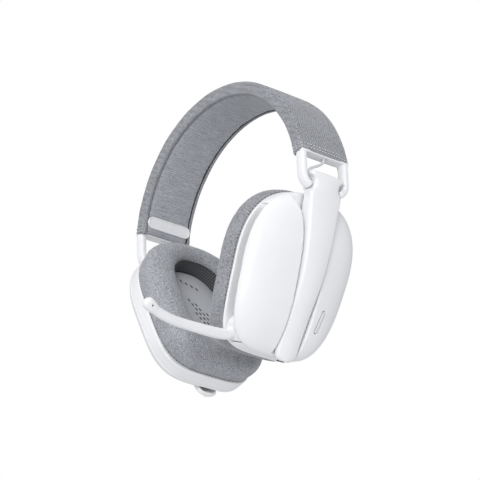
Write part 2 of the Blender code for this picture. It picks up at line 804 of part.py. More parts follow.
def slit_mesh():
    """Two groups of slits: one row near the top, and slanting rows at the middle."""
    work = bmesh.new()
    lean = Matrix.Rotation(math.radians(-35), 4, "X")
    centres = [(-8.1 + 4.1 * i, 27.4 - 1.5 * i) for i in range(5)]
    for row in range(4):
        for column in range(2):
            centres.append((-6.0 + 4.2 * column + 2.6 * row, 11.0 - 2.6 * column - 4.6 * row))
    for y, z in centres:
        made = bmesh.ops.create_cube(work, size=1.0)
        place = Matrix.Translation((-3 * MM, y * MM, z * MM)) @ lean
        size = Matrix.Diagonal((6 * MM, 2.6 * MM, 1.1 * MM, 1.0))
        bmesh.ops.transform(work, matrix=place @ size, verts=made["verts"])
    return mesh_of(work, "slits")


def make_driver(side_name, frame):
    """Loudspeaker: basket, diaphragm and magnet, turned about the cup's axis."""
    place = (0.0, 2 * MM, 1 * MM)
    basket = (
        (20 * MM, 2.0 * MM), (20 * MM, 0.3 * MM), (18.4 * MM, 0.3 * MM), (18.4 * MM, 1.2 * MM),
        (8.4 * MM, 5.6 * MM), (8.4 * MM, 7.0 * MM), (9.8 * MM, 7.0 * MM), (18.0 * MM, 2.0 * MM),
    )
    turned_part("driver_basket_" + side_name, basket, dark_plastic(), frame, place)
    diaphragm = (
        (0.0, 0.9 * MM), (7 * MM, 0.9 * MM), (13 * MM, 1.2 * MM), (17.8 * MM, 0.8 * MM),
        (17.8 * MM, 0.4 * MM), (13 * MM, 0.8 * MM), (7 * MM, 0.4 * MM), (0.0, 0.3 * MM),
    )
    turned_part("driver_diaphragm_" + side_name, diaphragm, dark_plastic(), frame, place)
    magnet = (
        (0.0, 7.0 * MM), (8.1 * MM, 7.0 * MM), (8.1 * MM, 6.2 * MM),
        (6.0 * MM, 5.2 * MM), (6.0 * MM, 3.2 * MM), (0.0, 3.2 * MM),
    )
    turned_part("driver_magnet_" + side_name, magnet, steel(), frame, place)


def make_cushion(side_name, frame):
    """Padded ear ring, its perforated lining and the ring that clips it to the cup."""
    hole = LINING_THICKNESS + GAP
    face = -CUSHION_DEPTH
    rings = [
        cup_ring(-0.4 * MM, 0.3 * MM),
        cup_ring(-5 * MM, -1.0 * MM),
        cup_ring(-11 * MM, -CUSHION_BULGE),
        cup_ring(-15 * MM, -0.6 * MM),
        cup_ring(face + 0.8 * MM, 4.0 * MM),
        cup_ring(face, 7 * MM),
        cup_ring(face, 11 * MM),
        ear_ring(face + 0.7 * MM, -5 * MM),
        ear_ring(face + 3.5 * MM, -hole),
        ear_ring(-2.3 * MM, -hole),
        cup_ring(-2.3 * MM, 1.6 * MM),
        cup_ring(-0.4 * MM, 1.6 * MM),
    ]
    mesh = faced(loft_mesh("cushion", rings, closed=True), side_name)
    add_part("cushion_" + side_name, mesh, fabric(), frame)
    lining = [
        ear_ring(-2.3 * MM, 0.0),
        ear_ring(-14 * MM, 0.0),
        ear_ring(-14 * MM, -LINING_THICKNESS),
        ear_ring(-2.3 * MM, -LINING_THICKNESS),
    ]
    mesh = loft_mesh("lining", lining, closed=True)
    add_part("cushion_lining_" + side_name, mesh, dark_plastic(), frame)
    clip = [
        cup_ring(-0.3 * MM, 1.9 * MM),
        cup_ring(-2.0 * MM, 1.9 * MM),
        cup_ring(-2.0 * MM, 6.6 * MM),
        cup_ring(-0.3 * MM, 6.6 * MM),
    ]
    mesh = faced(loft_mesh("clip", clip, closed=True), side_name)
    add_part("cushion_ring_" + side_name, mesh, dark_plastic(), frame)


def make_cup(side_name, frame):
    """Everything that both ear cups have. Returns the cover and the shell."""
    cover = make_cup_cover(side_name, frame)
    make_slider(side_name, frame)
    front_inset = GROOVE_BACK if side_name == "left" else SHELL_WALL
    shell = make_cup_shell(side_name, frame, front_inset)
    make_baffle(side_name, frame)
    make_driver(side_name, frame)
    make_cushion(side_name, frame)
    return cover, shell


# ---------------------------------------------------------------- left cup: boom, controls, board

def stowed_boom_route(count=14):
    """The boom's centre line when it lies in its groove, from root to tip, as (y, z)."""
    start = Vector((BOOM_PIVOT_Y, BOOM_PIVOT_Z))
    route = [start]
    low = -30 * MM
    for i in range(count + 1):
        height = low + (BOOM_TIP_HEIGHT - low) * i / count
        route.append(Vector((front_edge(height) + BOOM_INSET, height)))
    return route


def front_edge(height):
    """The y of the cup's front edge at a height."""
    width, taper, roundness = quarter(-1, height)
    up = height / CUP_HALF_HEIGHT
    across = (1 - abs(up) ** roundness) ** (1 / roundness)
    return -width * across * (1 + taper * up)


def make_boom(cup_frame, shell):
    """Microphone boom on its pin, swung forward out of its groove."""
    pivot = Vector((BOOM_LEVEL, BOOM_PIVOT_Y, BOOM_PIVOT_Z))
    frame = add_frame("boom_pivot", cup_frame, pivot, (BOOM_FOLD, 0.0, 0.0))
    centre = Vector((BOOM_PIVOT_Y, BOOM_PIVOT_Z))
    route = [Vector((0.0, *(point - centre))) for point in stowed_boom_route()]
    radii = [BOOM_HALF_WIDTH] * len(route)
    radii[-len(BOOM_KNOB_RADII):] = BOOM_KNOB_RADII
    mesh = tube_mesh(route, radii, 3)
    mesh.transform(Matrix.Diagonal((BOOM_HALF_THICKNESS / BOOM_HALF_WIDTH, 1, 1, 1)))
    boom = add_part("boom_arm", mesh, white_plastic(), frame)
    foot = LIP_HEIGHT + GAP
    root_mesh = rod_mesh("root", (foot, *centre), (BOOM_ROOT_TOP, *centre), BOOM_ROOT_RADIUS, 20)
    root = add_cutter("boom_root", root_mesh, cup_frame)
    dome = add_cutter("boom_root_limit", dome_mesh(0.3 * MM, 0.0), cup_frame)
    boolean(root, dome, "INTERSECT")
    boolean(boom, root, "UNION")
    pin_top = BOOM_ROOT_TOP - 1.2 * MM
    bore_radius = BOOM_PIN_RADIUS + GAP
    bore = rod_mesh("bore", (1 * MM, *centre), (pin_top + GAP, *centre), bore_radius)
    boolean(boom, add_cutter("bore_boom", bore, cup_frame))
    pin = rod_mesh("pin", (1.1 * MM, *centre), (pin_top, *centre), BOOM_PIN_RADIUS)
    add_part("boom_pivot_pin", pin, steel(), cup_frame)
    seat = rod_mesh("seat", (0.8 * MM, *centre), (SHELL_HEIGHT + MM, *centre), bore_radius)
    boolean(shell, add_cutter("seat_boom_pin", seat, cup_frame))
    pocket = rod_mesh(
        "pocket", (LIP_HEIGHT, *centre), (SHELL_HEIGHT + MM, *centre), BOOM_ROOT_RADIUS + GAP, 20
    )
    boolean(shell, add_cutter("pocket_boom", pocket, cup_frame))
    tip = route[-2]
    inward = Vector((-MM, 0.0, 0.0))
    capsule = rod_mesh("capsule", tip + 2 * inward, tip - 0.6 * inward, CAPSULE_RADIUS)
    add_part("mic_capsule", capsule, dark_plastic(), frame)
    port = rod_mesh("port", tip + 6 * inward, tip - 0.9 * inward, CAPSULE_RADIUS + GAP)
    boolean(boom, add_cutter("port_mic", port, frame))


def make_groove(cup_frame, shell):
    """Groove in the front of the cup's side wall, where the folded boom lies."""
    steps = 18
    low = -40 * MM
    rows = [low + (GROOVE_TOP - low) * i / steps for i in range(steps + 1)]
    outer = [(front_edge(z) - 6 * MM, z) for z in rows]
    inner = [(front_edge(z) + GROOVE_INSET, z) for z in reversed(rows)]
    mesh = slab_mesh(outer + inner, LIP_HEIGHT, SHELL_HEIGHT + MM, "YZ")
    boolean(shell, add_cutter("groove", mesh, cup_frame))
    exit_low = -60 * MM
    exit_mesh = box_mesh(
        "exit", (LIP_HEIGHT, -60 * MM, exit_low), (SHELL_HEIGHT + MM, BOOM_PIVOT_Y, BOOM_PIVOT_Z)
    )
    boolean(shell, add_cutter("groove_exit", exit_mesh, cup_frame))


def make_power_button(cup_frame, shell):
    """Small button in the underside of the cup's side wall, pressed upwards."""
    level = 4.2 * MM
    low = -CUP_HALF_HEIGHT
    frame = add_frame("power_button_guide", cup_frame, (level, BUTTON_Y, low))
    mesh = box_mesh("button", (-1.4 * MM, -2.6 * MM, -0.9 * MM), (1.4 * MM, 2.6 * MM, 3.4 * MM))
    button = add_part("power_button", mesh, dark_plastic(), frame)
    bevel(button, 0.5 * MM, 1)
    hole = box_mesh("hole", (-1.7 * MM, -2.9 * MM, -3 * MM), (1.7 * MM, 2.9 * MM, 8 * MM))
    boolean(shell, add_cutter("hole_power_button", hole, frame))


def make_volume_rocker(cup_frame, cover):
    """Slim rocker in the rear half of the cover, tipping about its middle."""
    level = dome_height(ROCKER_Y, ROCKER_Z)
    pivot = (level - 1.6 * MM, ROCKER_Y, ROCKER_Z)
    frame = add_frame("volume_rocker_pivot", cup_frame, pivot, (-ROCKER_LEAN, 0.0, 0.0))
    half = ROCKER_LENGTH / 2
    rear_level = dome_height(ROCKER_Y + 2 * MM, ROCKER_Z)
    slope = (rear_level - dome_height(ROCKER_Y - 2 * MM, ROCKER_Z)) / (4 * MM)
    mesh = slab_mesh(pill_upright(half * 2, 2.2 * MM), -1.2 * MM, 2.1 * MM, "YZ")
    for vertex in mesh.vertices:
        rise = vertex.co.x > 0
        along = dome_height(ROCKER_Y, ROCKER_Z + vertex.co.z) - level
        vertex.co.x += (along + slope * vertex.co.y) if rise else 0.0
    add_part("volume_rocker", mesh, grey_plastic(), frame)
    hole = slab_mesh(pill_upright(half * 2 + 0.9 * MM, 3.1 * MM), -6 * MM, 8 * MM, "YZ")
    boolean(cover, add_cutter("hole_volume_rocker", hole, frame))


def pill_upright(length, width):
    return [(-y, z) for z, y in pill_outline(length, width)]


def dome_height(y, z):
    """Level of the cover's outer face at a place on the cup."""
    width, taper, roundness = quarter(y, z)
    up = z / CUP_HALF_HEIGHT
    across = abs(y) / (width * (1 + taper * up))
    radius = (across ** roundness + abs(up) ** roundness) ** (1 / roundness)
    return COVER_BASE + DOME_RISE * (1 - radius ** DOME_FALL) ** DOME_ROUNDING


def make_left_electronics(cup_frame, shell):
    """Circuit board and charging port."""
    board = box_mesh("board", (3.4 * MM, -20 * MM, -42 * MM), (4.6 * MM, 16 * MM, -22 * MM))
    add_part("circuit_board", board, finish("board_green", (0.02, 0.12, 0.05), 0.4), cup_frame)
    low = Vector((2.6 * MM, PORT_Y - 4.5 * MM, -46.6 * MM))
    high = Vector((5.8 * MM, PORT_Y + 4.5 * MM, -42.3 * MM))
    port = add_part("usb_port", box_mesh("port", low, high), steel(), cup_frame)
    rim = Vector((1, 1, 1)) * 0.6 * MM
    mouth = box_mesh("mouth", low + rim - Vector((0, 0, 3 * MM)), high - rim)
    boolean(port, add_cutter("mouth_usb_port", mouth, cup_frame))
    room = Vector((GAP, GAP, 3 * MM))
    hole = box_mesh("hole", low - room, high + Vector((GAP, GAP, GAP)))
    boolean(shell, add_cutter("hole_usb_port", hole, cup_frame))


def make_battery(cup_frame):
    """Battery in the right cup."""
    mesh = box_mesh("battery", (2.6 * MM, -16 * MM, -42 * MM), (7.0 * MM, 16 * MM, -22 * MM))
    battery = add_part("battery", mesh, finish("foil", (0.5, 0.5, 0.5), 0.35, 0.6), cup_frame)
    bevel(battery, 0.8 * MM, 1)


def make_side(side_name, side, frame):
    """One arm with its ear cup, hung on the fork's pivot."""
    turn = (0.0, TOE_IN, 0.0 if side > 0 else math.pi)
    pivot = add_frame(f"{side_name}_arm_pivot", frame, (side * PIVOT_X, 0.0, PIVOT_Z), turn)
    arm_frame = add_frame(f"{side_name}_arm_frame", pivot, (-PIVOT_OUT, 0.0, -PIVOT_UP))
    make_arm(side_name, arm_frame)
    cup_frame = add_frame(f"{side_name}_cup_slide", arm_frame, (0.0, 0.0, 0.0))
    cover, shell = make_cup(side_name, cup_frame)
    if side_name == "left":
        make_groove(cup_frame, shell)
        make_boom(cup_frame, shell)
        make_power_button(cup_frame, shell)
        make_volume_rocker(cup_frame, cover)
        make_left_electronics(cup_frame, shell)
    else:
        make_battery(cup_frame)


SIDES = (("left", 1), ("right", -1))

clear_scene()
PARTS = new_collection("headset")
CUTTERS = new_collection("cutters")
HEADSET_FRAME = add_frame("headset_frame", None, (0.0, 0.0, -CROWN_HEIGHT))
make_headband(HEADSET_FRAME)
for SIDE_NAME, SIDE in SIDES:
    make_side(SIDE_NAME, SIDE, HEADSET_FRAME)
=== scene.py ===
"""Looks of a wireless over-ear headset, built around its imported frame.

Everything is in metres in the frame of the part: +Z up, +X the wearer's left, -Y the front.
Pieces of an arm or a cup are made in that cup's own frame, X out of the cup, Y to the rear and
Z up along the arm, and are then placed by the cup's matrix.
"""
import json
import math

import bmesh
import bpy
from mathutils import Matrix, Vector, noise


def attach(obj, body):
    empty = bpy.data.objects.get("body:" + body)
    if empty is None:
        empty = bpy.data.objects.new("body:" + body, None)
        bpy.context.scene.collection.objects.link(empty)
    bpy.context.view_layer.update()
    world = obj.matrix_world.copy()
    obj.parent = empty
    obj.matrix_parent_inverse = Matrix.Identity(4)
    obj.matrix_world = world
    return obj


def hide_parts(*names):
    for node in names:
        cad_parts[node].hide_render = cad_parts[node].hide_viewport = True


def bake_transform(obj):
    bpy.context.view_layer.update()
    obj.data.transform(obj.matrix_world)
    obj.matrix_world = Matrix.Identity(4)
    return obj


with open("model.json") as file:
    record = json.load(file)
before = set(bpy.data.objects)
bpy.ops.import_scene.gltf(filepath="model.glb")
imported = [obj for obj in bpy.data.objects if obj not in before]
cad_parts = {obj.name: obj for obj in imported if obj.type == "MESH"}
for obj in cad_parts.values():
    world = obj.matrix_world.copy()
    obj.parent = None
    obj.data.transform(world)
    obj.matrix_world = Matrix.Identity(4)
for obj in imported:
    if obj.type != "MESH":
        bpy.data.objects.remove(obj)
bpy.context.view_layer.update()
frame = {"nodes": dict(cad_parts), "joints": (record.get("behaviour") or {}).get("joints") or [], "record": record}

MM = 0.001
SIDES = (("left", 1), ("right", -1))
JOINTS = {joint["name"]: joint for joint in frame["joints"]}

# Camera
VIEW_AZIMUTH = 0.842
VIEW_ELEVATION = -0.422
VIEW_ROLL = -0.034
VIEW_DISTANCE = 1.4632
VIEW_LENS = 177.08
VIEW_TARGET = Vector((-4.1, 3.3, -87.8)) * MM
FLOOR_LEVEL = -1.1

# Headband arch, measured from the crown of its underside
BAND_HALF_SPAN = 80.0 * MM
BAND_RISE = 84.2 * MM
BAND_DEPTH = 8.2 * MM
BAND_HALF_WIDTH = 18.85 * MM
BAND_END_ANGLE = math.radians(8.13)
ARCH_CENTRE = -(BAND_RISE - BAND_DEPTH)
HEM_LENGTH = 6.5 * MM
SLEEVE_THICKNESS = 1.3 * MM

# Forks
PIVOT_X = 76.0 * MM
FORK_HALF_DEPTH = 3.3 * MM
FORK_TOP = ARCH_CENTRE + 12.9 * MM
CROSSBAR_BOTTOM = ARCH_CENTRE + 11.5 * MM

# Cup frame, from the pivot of the arm
PIVOT_OUT = 13.6 * MM
PIVOT_UP = 57.6 * MM
CUP_HALF_HEIGHT = 50.0 * MM
FRONT_HALF_WIDTH = 43.0 * MM
REAR_HALF_WIDTH = 37.5 * MM
FRONT_TAPER = 0.04
REAR_TAPER = 0.16
ROUNDNESS_TOP = 2.4
ROUNDNESS_FRONT_FOOT = 4.4
ROUNDNESS_REAR_FOOT = 3.0
SHELL_HEIGHT = 7.7 * MM
SHELL_WALL = 2.4 * MM
LIP_HEIGHT = 1.9 * MM
COVER_BASE = 8.0 * MM
COVER_WALL = 1.8 * MM
DOME_RISE = 13.5 * MM
DOME_FALL = 2.6
DOME_ROUNDING = 0.55
CHANNEL_FLOOR = 10.6 * MM
CHANNEL_GAP = 0.9 * MM
CHANNEL_REAR_GAP = 1.35 * MM

# Ear hole
EAR_HALF_WIDTH = 23.8 * MM
EAR_HALF_HEIGHT = 36.0 * MM
EAR_CENTRE = 1.0 * MM
EAR_ROUNDNESS = 2.5

# Boom
BOOM_PIVOT = Vector((4.8, -31.5, -38.5)) * MM
BOOM_INSET = 3.3 * MM
BOOM_TIP_HEIGHT = 32.5 * MM
BOOM_FOLD = math.radians(88.0)
BOOM_ROOT_RADIUS = 8.0 * MM
GROOVE_INSET = 7.6 * MM
GROOVE_TOP = 37.0 * MM
GROOVE_BACK = 16.0 * MM

# Arm: distance along it, half width and height of the outer face, all in millimetres
ARM_STATIONS = (
    (63.7, 10.6, 16.2), (63.1, 11.8, 17.4), (62.0, 12.7, 18.3), (60.8, 12.4, 18.8),
    (59.6, 10.6, 19.0), (58.2, 9.8, 19.2), (54.6, 9.6, 19.8), (53.0, 10.4, 20.0),
    (51.6, 11.8, 20.2), (50.0, 12.2, 20.4), (47.0, 11.9, 20.8), (42.0, 11.5, 21.6),
    (36.0, 11.0, 22.5), (27.0, 10.3, 23.8), (18.5, 9.6, 24.7), (3.5, 8.6, 25.0),
    (-8.5, 8.0, 23.8), (-22.0, 7.7, 21.1), (-37.0, 7.7, 18.2), (-44.5, 7.7, 17.1),
    (-48.4, 7.0, 16.6), (-50.2, 5.5, 16.2), (-51.2, 3.4, 15.8),
)
ARM_BOTTOM = 12.2 * MM
ARM_WALL = 1.8 * MM


# ---- small helpers

def smoothstep(low, high, value):
    t = min(max((value - low) / (high - low), 0.0), 1.0)
    return t * t * (3 - 2 * t)


def signed_power(value, power):
    return math.copysign(abs(value) ** power, value)


def distances(places):
    """Distance travelled along a route at each of its points."""
    table = [0.0]
    for a, b in zip(places, places[1:]):
        table.append(table[-1] + (b - a).length)
    return table


def circle(count):
    """Cosine and sine at evenly spaced angles."""
    angles = [2 * math.pi * i / count for i in range(count)]
    return [(math.cos(angle), math.sin(angle)) for angle in angles]


def ahead(route, i):
    """The way that a route goes at one of its points."""
    return route[min(i + 1, len(route) - 1)] - route[max(i - 1, 0)]


def catmull(points, steps):
    """Points along a Catmull-Rom curve through the given vectors."""
    padded = [2 * points[0] - points[1], *points, 2 * points[-1] - points[-2]]
    route = []
    for a, b, c, d in zip(padded, padded[1:], padded[2:], padded[3:]):
        for i in range(steps):
            t = i / steps
            route.append(
                0.5 * (2 * b + (c - a) * t + (2 * a - 5 * b + 4 * c - d) * t ** 2
                       + (3 * b - a - 3 * c + d) * t ** 3)
            )
    route.append(points[-1].copy())
    return route


def cup_matrix(side_name, side):
    """The frame of a cup: X out of it, Y to the rear, Z up along the arm."""
    pivot = Vector(JOINTS[f"{side_name}_arm_tilt"]["pos_m"])
    up = -Vector(JOINTS[f"{side_name}_cup_slide"]["axis"])
    rear = Vector((0, 1, 0))
    out = side * rear.cross(up)
    origin = pivot - PIVOT_OUT * out - PIVOT_UP * up
    return Matrix.Translation(origin) @ Matrix((out, rear, up)).transposed().to_4x4()


CUPS = {name: cup_matrix(name, side) for name, side in SIDES}


def mirror_matrix(side):
    """Identity for the left side, and the mirror image of the left for the right."""
    return Matrix.Diagonal((side, 1, 1, 1))


def mesh_of(work, outwards=True):
    if outwards:
        bmesh.ops.recalc_face_normals(work, faces=work.faces)
    mesh = bpy.data.meshes.new("mesh")
    work.to_mesh(mesh)
    work.free()
    return mesh


def placed(mesh, matrix):
    """The mesh moved by a matrix, with its faces kept outwards when the matrix mirrors it."""
    mesh.transform(matrix)
    if matrix.determinant() < 0:
        mesh.flip_normals()
    mesh.update()
    return mesh


def copied(mesh, matrix):
    return placed(mesh.copy(), matrix)


def loft(rings, closed=False, caps=True):
    """Quads between rings of equal count."""
    work = bmesh.new()
    loops = [[work.verts.new(point) for point in ring] for ring in rings]
    pairs = list(zip(loops, loops[1:]))
    if closed:
        pairs.append((loops[-1], loops[0]))
    for lower, upper in pairs:
        count = len(lower)
        for i in range(count):
            j = (i + 1) % count
            work.faces.new((lower[i], lower[j], upper[j], upper[i]))
    if caps and not closed:
        work.faces.new(loops[0])
        work.faces.new(loops[-1])
    return mesh_of(work)


def box(low, high):
    work = bmesh.new()
    bmesh.ops.create_cube(work, size=1.0)
    low, high = Vector(low), Vector(high)
    bmesh.ops.scale(work, vec=high - low, verts=work.verts)
    bmesh.ops.translate(work, vec=(high + low) / 2, verts=work.verts)
    return mesh_of(work)


def rod(start, end, radius, segments=32):
    start, end = Vector(start), Vector(end)
    work = bmesh.new()
    bmesh.ops.create_cone(
        work, cap_ends=True, segments=segments, radius1=radius, radius2=radius,
        depth=(end - start).length,
    )
    turn = (end - start).to_track_quat("Z", "Y").to_matrix().to_4x4()
    bmesh.ops.transform(work, matrix=Matrix.Translation((start + end) / 2) @ turn, verts=work.verts)
    return mesh_of(work)


def plate(outline, low, high):
    """An outline of (y, z) points made a solid from low to high along X."""
    return loft([[(level, y, z) for y, z in outline] for level in (low, high)])


def joined(*meshes):
    """Several meshes as one."""
    work = bmesh.new()
    for mesh in meshes:
        work.from_mesh(mesh)
    return mesh_of(work, outwards=False)


def in_scene(data, name="temporary"):
    obj = bpy.data.objects.new(name, data)
    bpy.context.scene.collection.objects.link(obj)
    return obj


def evaluated(obj):
    """A new mesh with the object's modifiers applied."""
    bpy.context.view_layer.update()
    graph = bpy.context.evaluated_depsgraph_get()
    return bpy.data.meshes.new_from_object(obj.evaluated_get(graph))


def modified(mesh, *steps):
    """A new mesh made by modifiers, each step its kind and settings. An object may be a mesh."""
    used = [in_scene(mesh)]
    for kind, settings in steps:
        modifier = used[0].modifiers.new(kind.lower(), kind)
        for name, value in settings.items():
            if name == "object":
                value = in_scene(value)
                used.append(value)
            setattr(modifier, name, value)
    result = evaluated(used[0])
    for obj in used:
        bpy.data.objects.remove(obj)
    return result


def cut(mesh, tool, **settings):
    return modified(mesh, ("BOOLEAN", {"object": tool, **settings}))


def remeshing(voxel):
    return "REMESH", {"mode": "VOXEL", "voxel_size": voxel}


def moulded(mesh, cuts=(), voxel=0.55 * MM, rounds=8, merged=False):
    """A moulded plastic piece: the shape, cut, and then given softly rounded edges."""
    steps = [("BOOLEAN", {"object": tool, "use_self": merged}) for tool in cuts]
    steps += [remeshing(voxel), ("SMOOTH", {"iterations": rounds, "factor": 0.5})]
    result = modified(mesh, *steps)
    result.shade_smooth()
    return result


def finished(mesh, finish, sharp=None):
    """The mesh with one material, smooth but for edges sharper than the given degrees."""
    mesh.materials.clear()
    mesh.materials.append(MATERIALS[finish])
    mesh.shade_smooth()
    if sharp:
        mesh.set_sharp_from_angle(angle=math.radians(sharp))


def piece(name, mesh, finish, body, replaces=(), sharp=None):
    """A shown piece that rides on a body."""
    finished(mesh, finish, sharp)
    obj = in_scene(mesh, name)
    mesh.name = name
    if body:
        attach(obj, body)
    if replaces:
        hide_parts(*replaces)
    return obj


def cup_piece(side, name, mesh, finish, part=None, sharp=None, body="cup"):
    """A piece made in the cup's frame, shown on one side in place of a part."""
    replaced = [f"{part}_{side}"] if part else ()
    mesh = copied(mesh, CUPS[side])
    return piece(f"{name}_{side}", mesh, finish, f"{side}_{body}", replaced, sharp)


def cup_pieces(*look, **more):
    """The same piece on both sides."""
    return [cup_piece(side, *look, **more) for side in CUPS]


def band_pieces(name, mesh, finish, part=None):
    """A piece at the left end of the headband, shown at both ends in place of a part."""
    for side, sign in SIDES:
        replaced = [f"{part}_{side}"] if part else ()
        piece(f"{name}_{side}", copied(mesh, mirror_matrix(sign)), finish, "headband", replaced)


def stitches(route, length, gap, radius):
    """Short thread stitches laid along a route, each a small round-ended bar."""
    work = bmesh.new()
    period = length + gap
    travelled = 0.0
    next_start = 0.0
    for a, b in zip(route, route[1:]):
        step = (b - a).length
        while next_start <= travelled + step and step > 0:
            middle = a.lerp(b, (next_start - travelled) / step)
            made = bmesh.ops.create_icosphere(work, subdivisions=1, radius=1.0)
            turn = (b - a).to_track_quat("Z", "Y").to_matrix().to_4x4()
            size = Matrix.Diagonal((radius, radius, length / 2, 1))
            bmesh.ops.transform(
                work, matrix=Matrix.Translation(middle) @ turn @ size, verts=made["verts"]
            )
            next_start += period
        travelled += step
    return mesh_of(work)


def tube(route, radius, sides=12):
    """A round tube along a route, with closed ends."""
    rings = []
    for i, point in enumerate(route):
        turn = ahead(route, i).to_track_quat("Z", "Y").to_matrix()
        rings.append([point + turn @ Vector((radius * a, radius * b, 0)) for a, b in circle(sides)])
    return loft(rings)


PRESSURE = 4.0
CLOTH_FRAMES = 20


def puffed(mesh, held, voxel, cap):
    """Padded fabric: cloth over the shape swells under pressure, held where held(point) says.

    The cloth is worked at ten times its size, where Blender's cloth settles well. Then every
    point's travel is capped and the surface is subdivided.
    """
    grow = 10.0
    base = modified(copied(mesh, Matrix.Scale(grow, 4)), remeshing(voxel * grow))
    obj = in_scene(base)
    pins = obj.vertex_groups.new(name="held")
    for vertex in base.vertices:
        if held(vertex.co / grow):
            pins.add([vertex.index], 1.0, "REPLACE")
    settings = obj.modifiers.new("cloth", "CLOTH").settings
    settings.quality = 6
    settings.mass = 0.3
    settings.tension_stiffness = settings.compression_stiffness = 12
    settings.shear_stiffness = 6
    settings.bending_stiffness = 0.8
    settings.vertex_group_mass = "held"
    settings.use_pressure = True
    settings.uniform_pressure_force = PRESSURE
    settings.effector_weights.gravity = 0.0
    scene = bpy.context.scene
    for number in range(1, CLOTH_FRAMES + 1):
        scene.frame_set(number)
    swollen = evaluated(obj)
    scene.frame_set(1)
    for before, after in zip(base.vertices, swollen.vertices):
        travel = after.co - before.co
        most = cap * grow
        if travel.length > most:
            travel = travel.normalized() * most
        after.co = before.co + travel
    bpy.data.objects.remove(obj)
    base = swollen
    result = modified(base, ("SMOOTH", {"iterations": 3}), ("SUBSURF", {"levels": 1}))
    return placed(result, Matrix.Scale(1 / grow, 4))


# ---- camera, light and floor

def make_camera():
    back = Vector((
        math.cos(VIEW_ELEVATION) * math.sin(VIEW_AZIMUTH),
        -math.cos(VIEW_ELEVATION) * math.cos(VIEW_AZIMUTH),
        math.sin(VIEW_ELEVATION),
    ))
    level_right = Vector((math.cos(VIEW_AZIMUTH), math.sin(VIEW_AZIMUTH), 0.0))
    level_up = back.cross(level_right)
    right = level_right * math.cos(VIEW_ROLL) + level_up * math.sin(VIEW_ROLL)
    up = back.cross(right)
    data = bpy.data.cameras.new("camera")
    data.lens = VIEW_LENS
    data.sensor_width = 36.0
    data.clip_end = 20.0
    camera = in_scene(data, "camera")
    turn = Matrix((right, up, back)).transposed().to_4x4()
    camera.matrix_world = Matrix.Translation(VIEW_TARGET + back * VIEW_DISTANCE) @ turn
    bpy.context.scene.camera = camera


def make_light():
    """White surroundings, and distant soft lamps of which the front one is the strongest."""
    scene = bpy.context.scene
    scene.view_settings.view_transform = "Standard"
    world = bpy.data.worlds.new("studio")
    world.use_nodes = True
    scene.world = world
    world.node_tree.nodes.clear()
    nodes = Nodes(world.node_tree)
    ray = nodes.add("ShaderNodeLightPath").outputs["Is Camera Ray"]
    lit, seen = [
        nodes.add("ShaderNodeBackground", {"Color": colour, "Strength": strength}).outputs[0]
        for colour, strength in (((0.95, 0.97, 1.0, 1.0), 0.54), ((1.0, 1.0, 1.0, 1.0), 1.0))
    ]
    shown = nodes.add("ShaderNodeMixShader", {0: ray, 1: lit, 2: seen}).outputs[0]
    nodes.add("ShaderNodeOutputWorld", {"Surface": shown})
    add_sun("top", (0.1, -0.45, 0.88), 0.7, 30)
    add_sun("front", (0.6, -0.8, -0.05), 1.75, 25)
    add_sun("below", (0.2, -0.4, -0.9), 0.65, 40)
    add_sun("side", (1.0, -0.1, -0.05), 0.3, 40)


def add_sun(name, towards, energy, spread):
    """A distant soft lamp that shines from a direction."""
    data = bpy.data.lights.new(name, "SUN")
    data.energy = energy
    data.angle = math.radians(spread)
    in_scene(data, name).rotation_euler = Vector(towards).to_track_quat("Z", "Y").to_euler()


def make_floor():
    work = bmesh.new()
    bmesh.ops.create_grid(work, x_segments=1, y_segments=1, size=6.0)
    floor = in_scene(mesh_of(work), "floor")
    floor.location.z = FLOOR_LEVEL
    material, shader, nodes = new_material("floor_paint", (0.93, 0.93, 0.93), 0.8)
    nodes.bump(shader, nodes.noise(nodes.position(), 30.0, 3.0), 0.1, MM)
    floor.data.materials.append(material)


# ---- materials

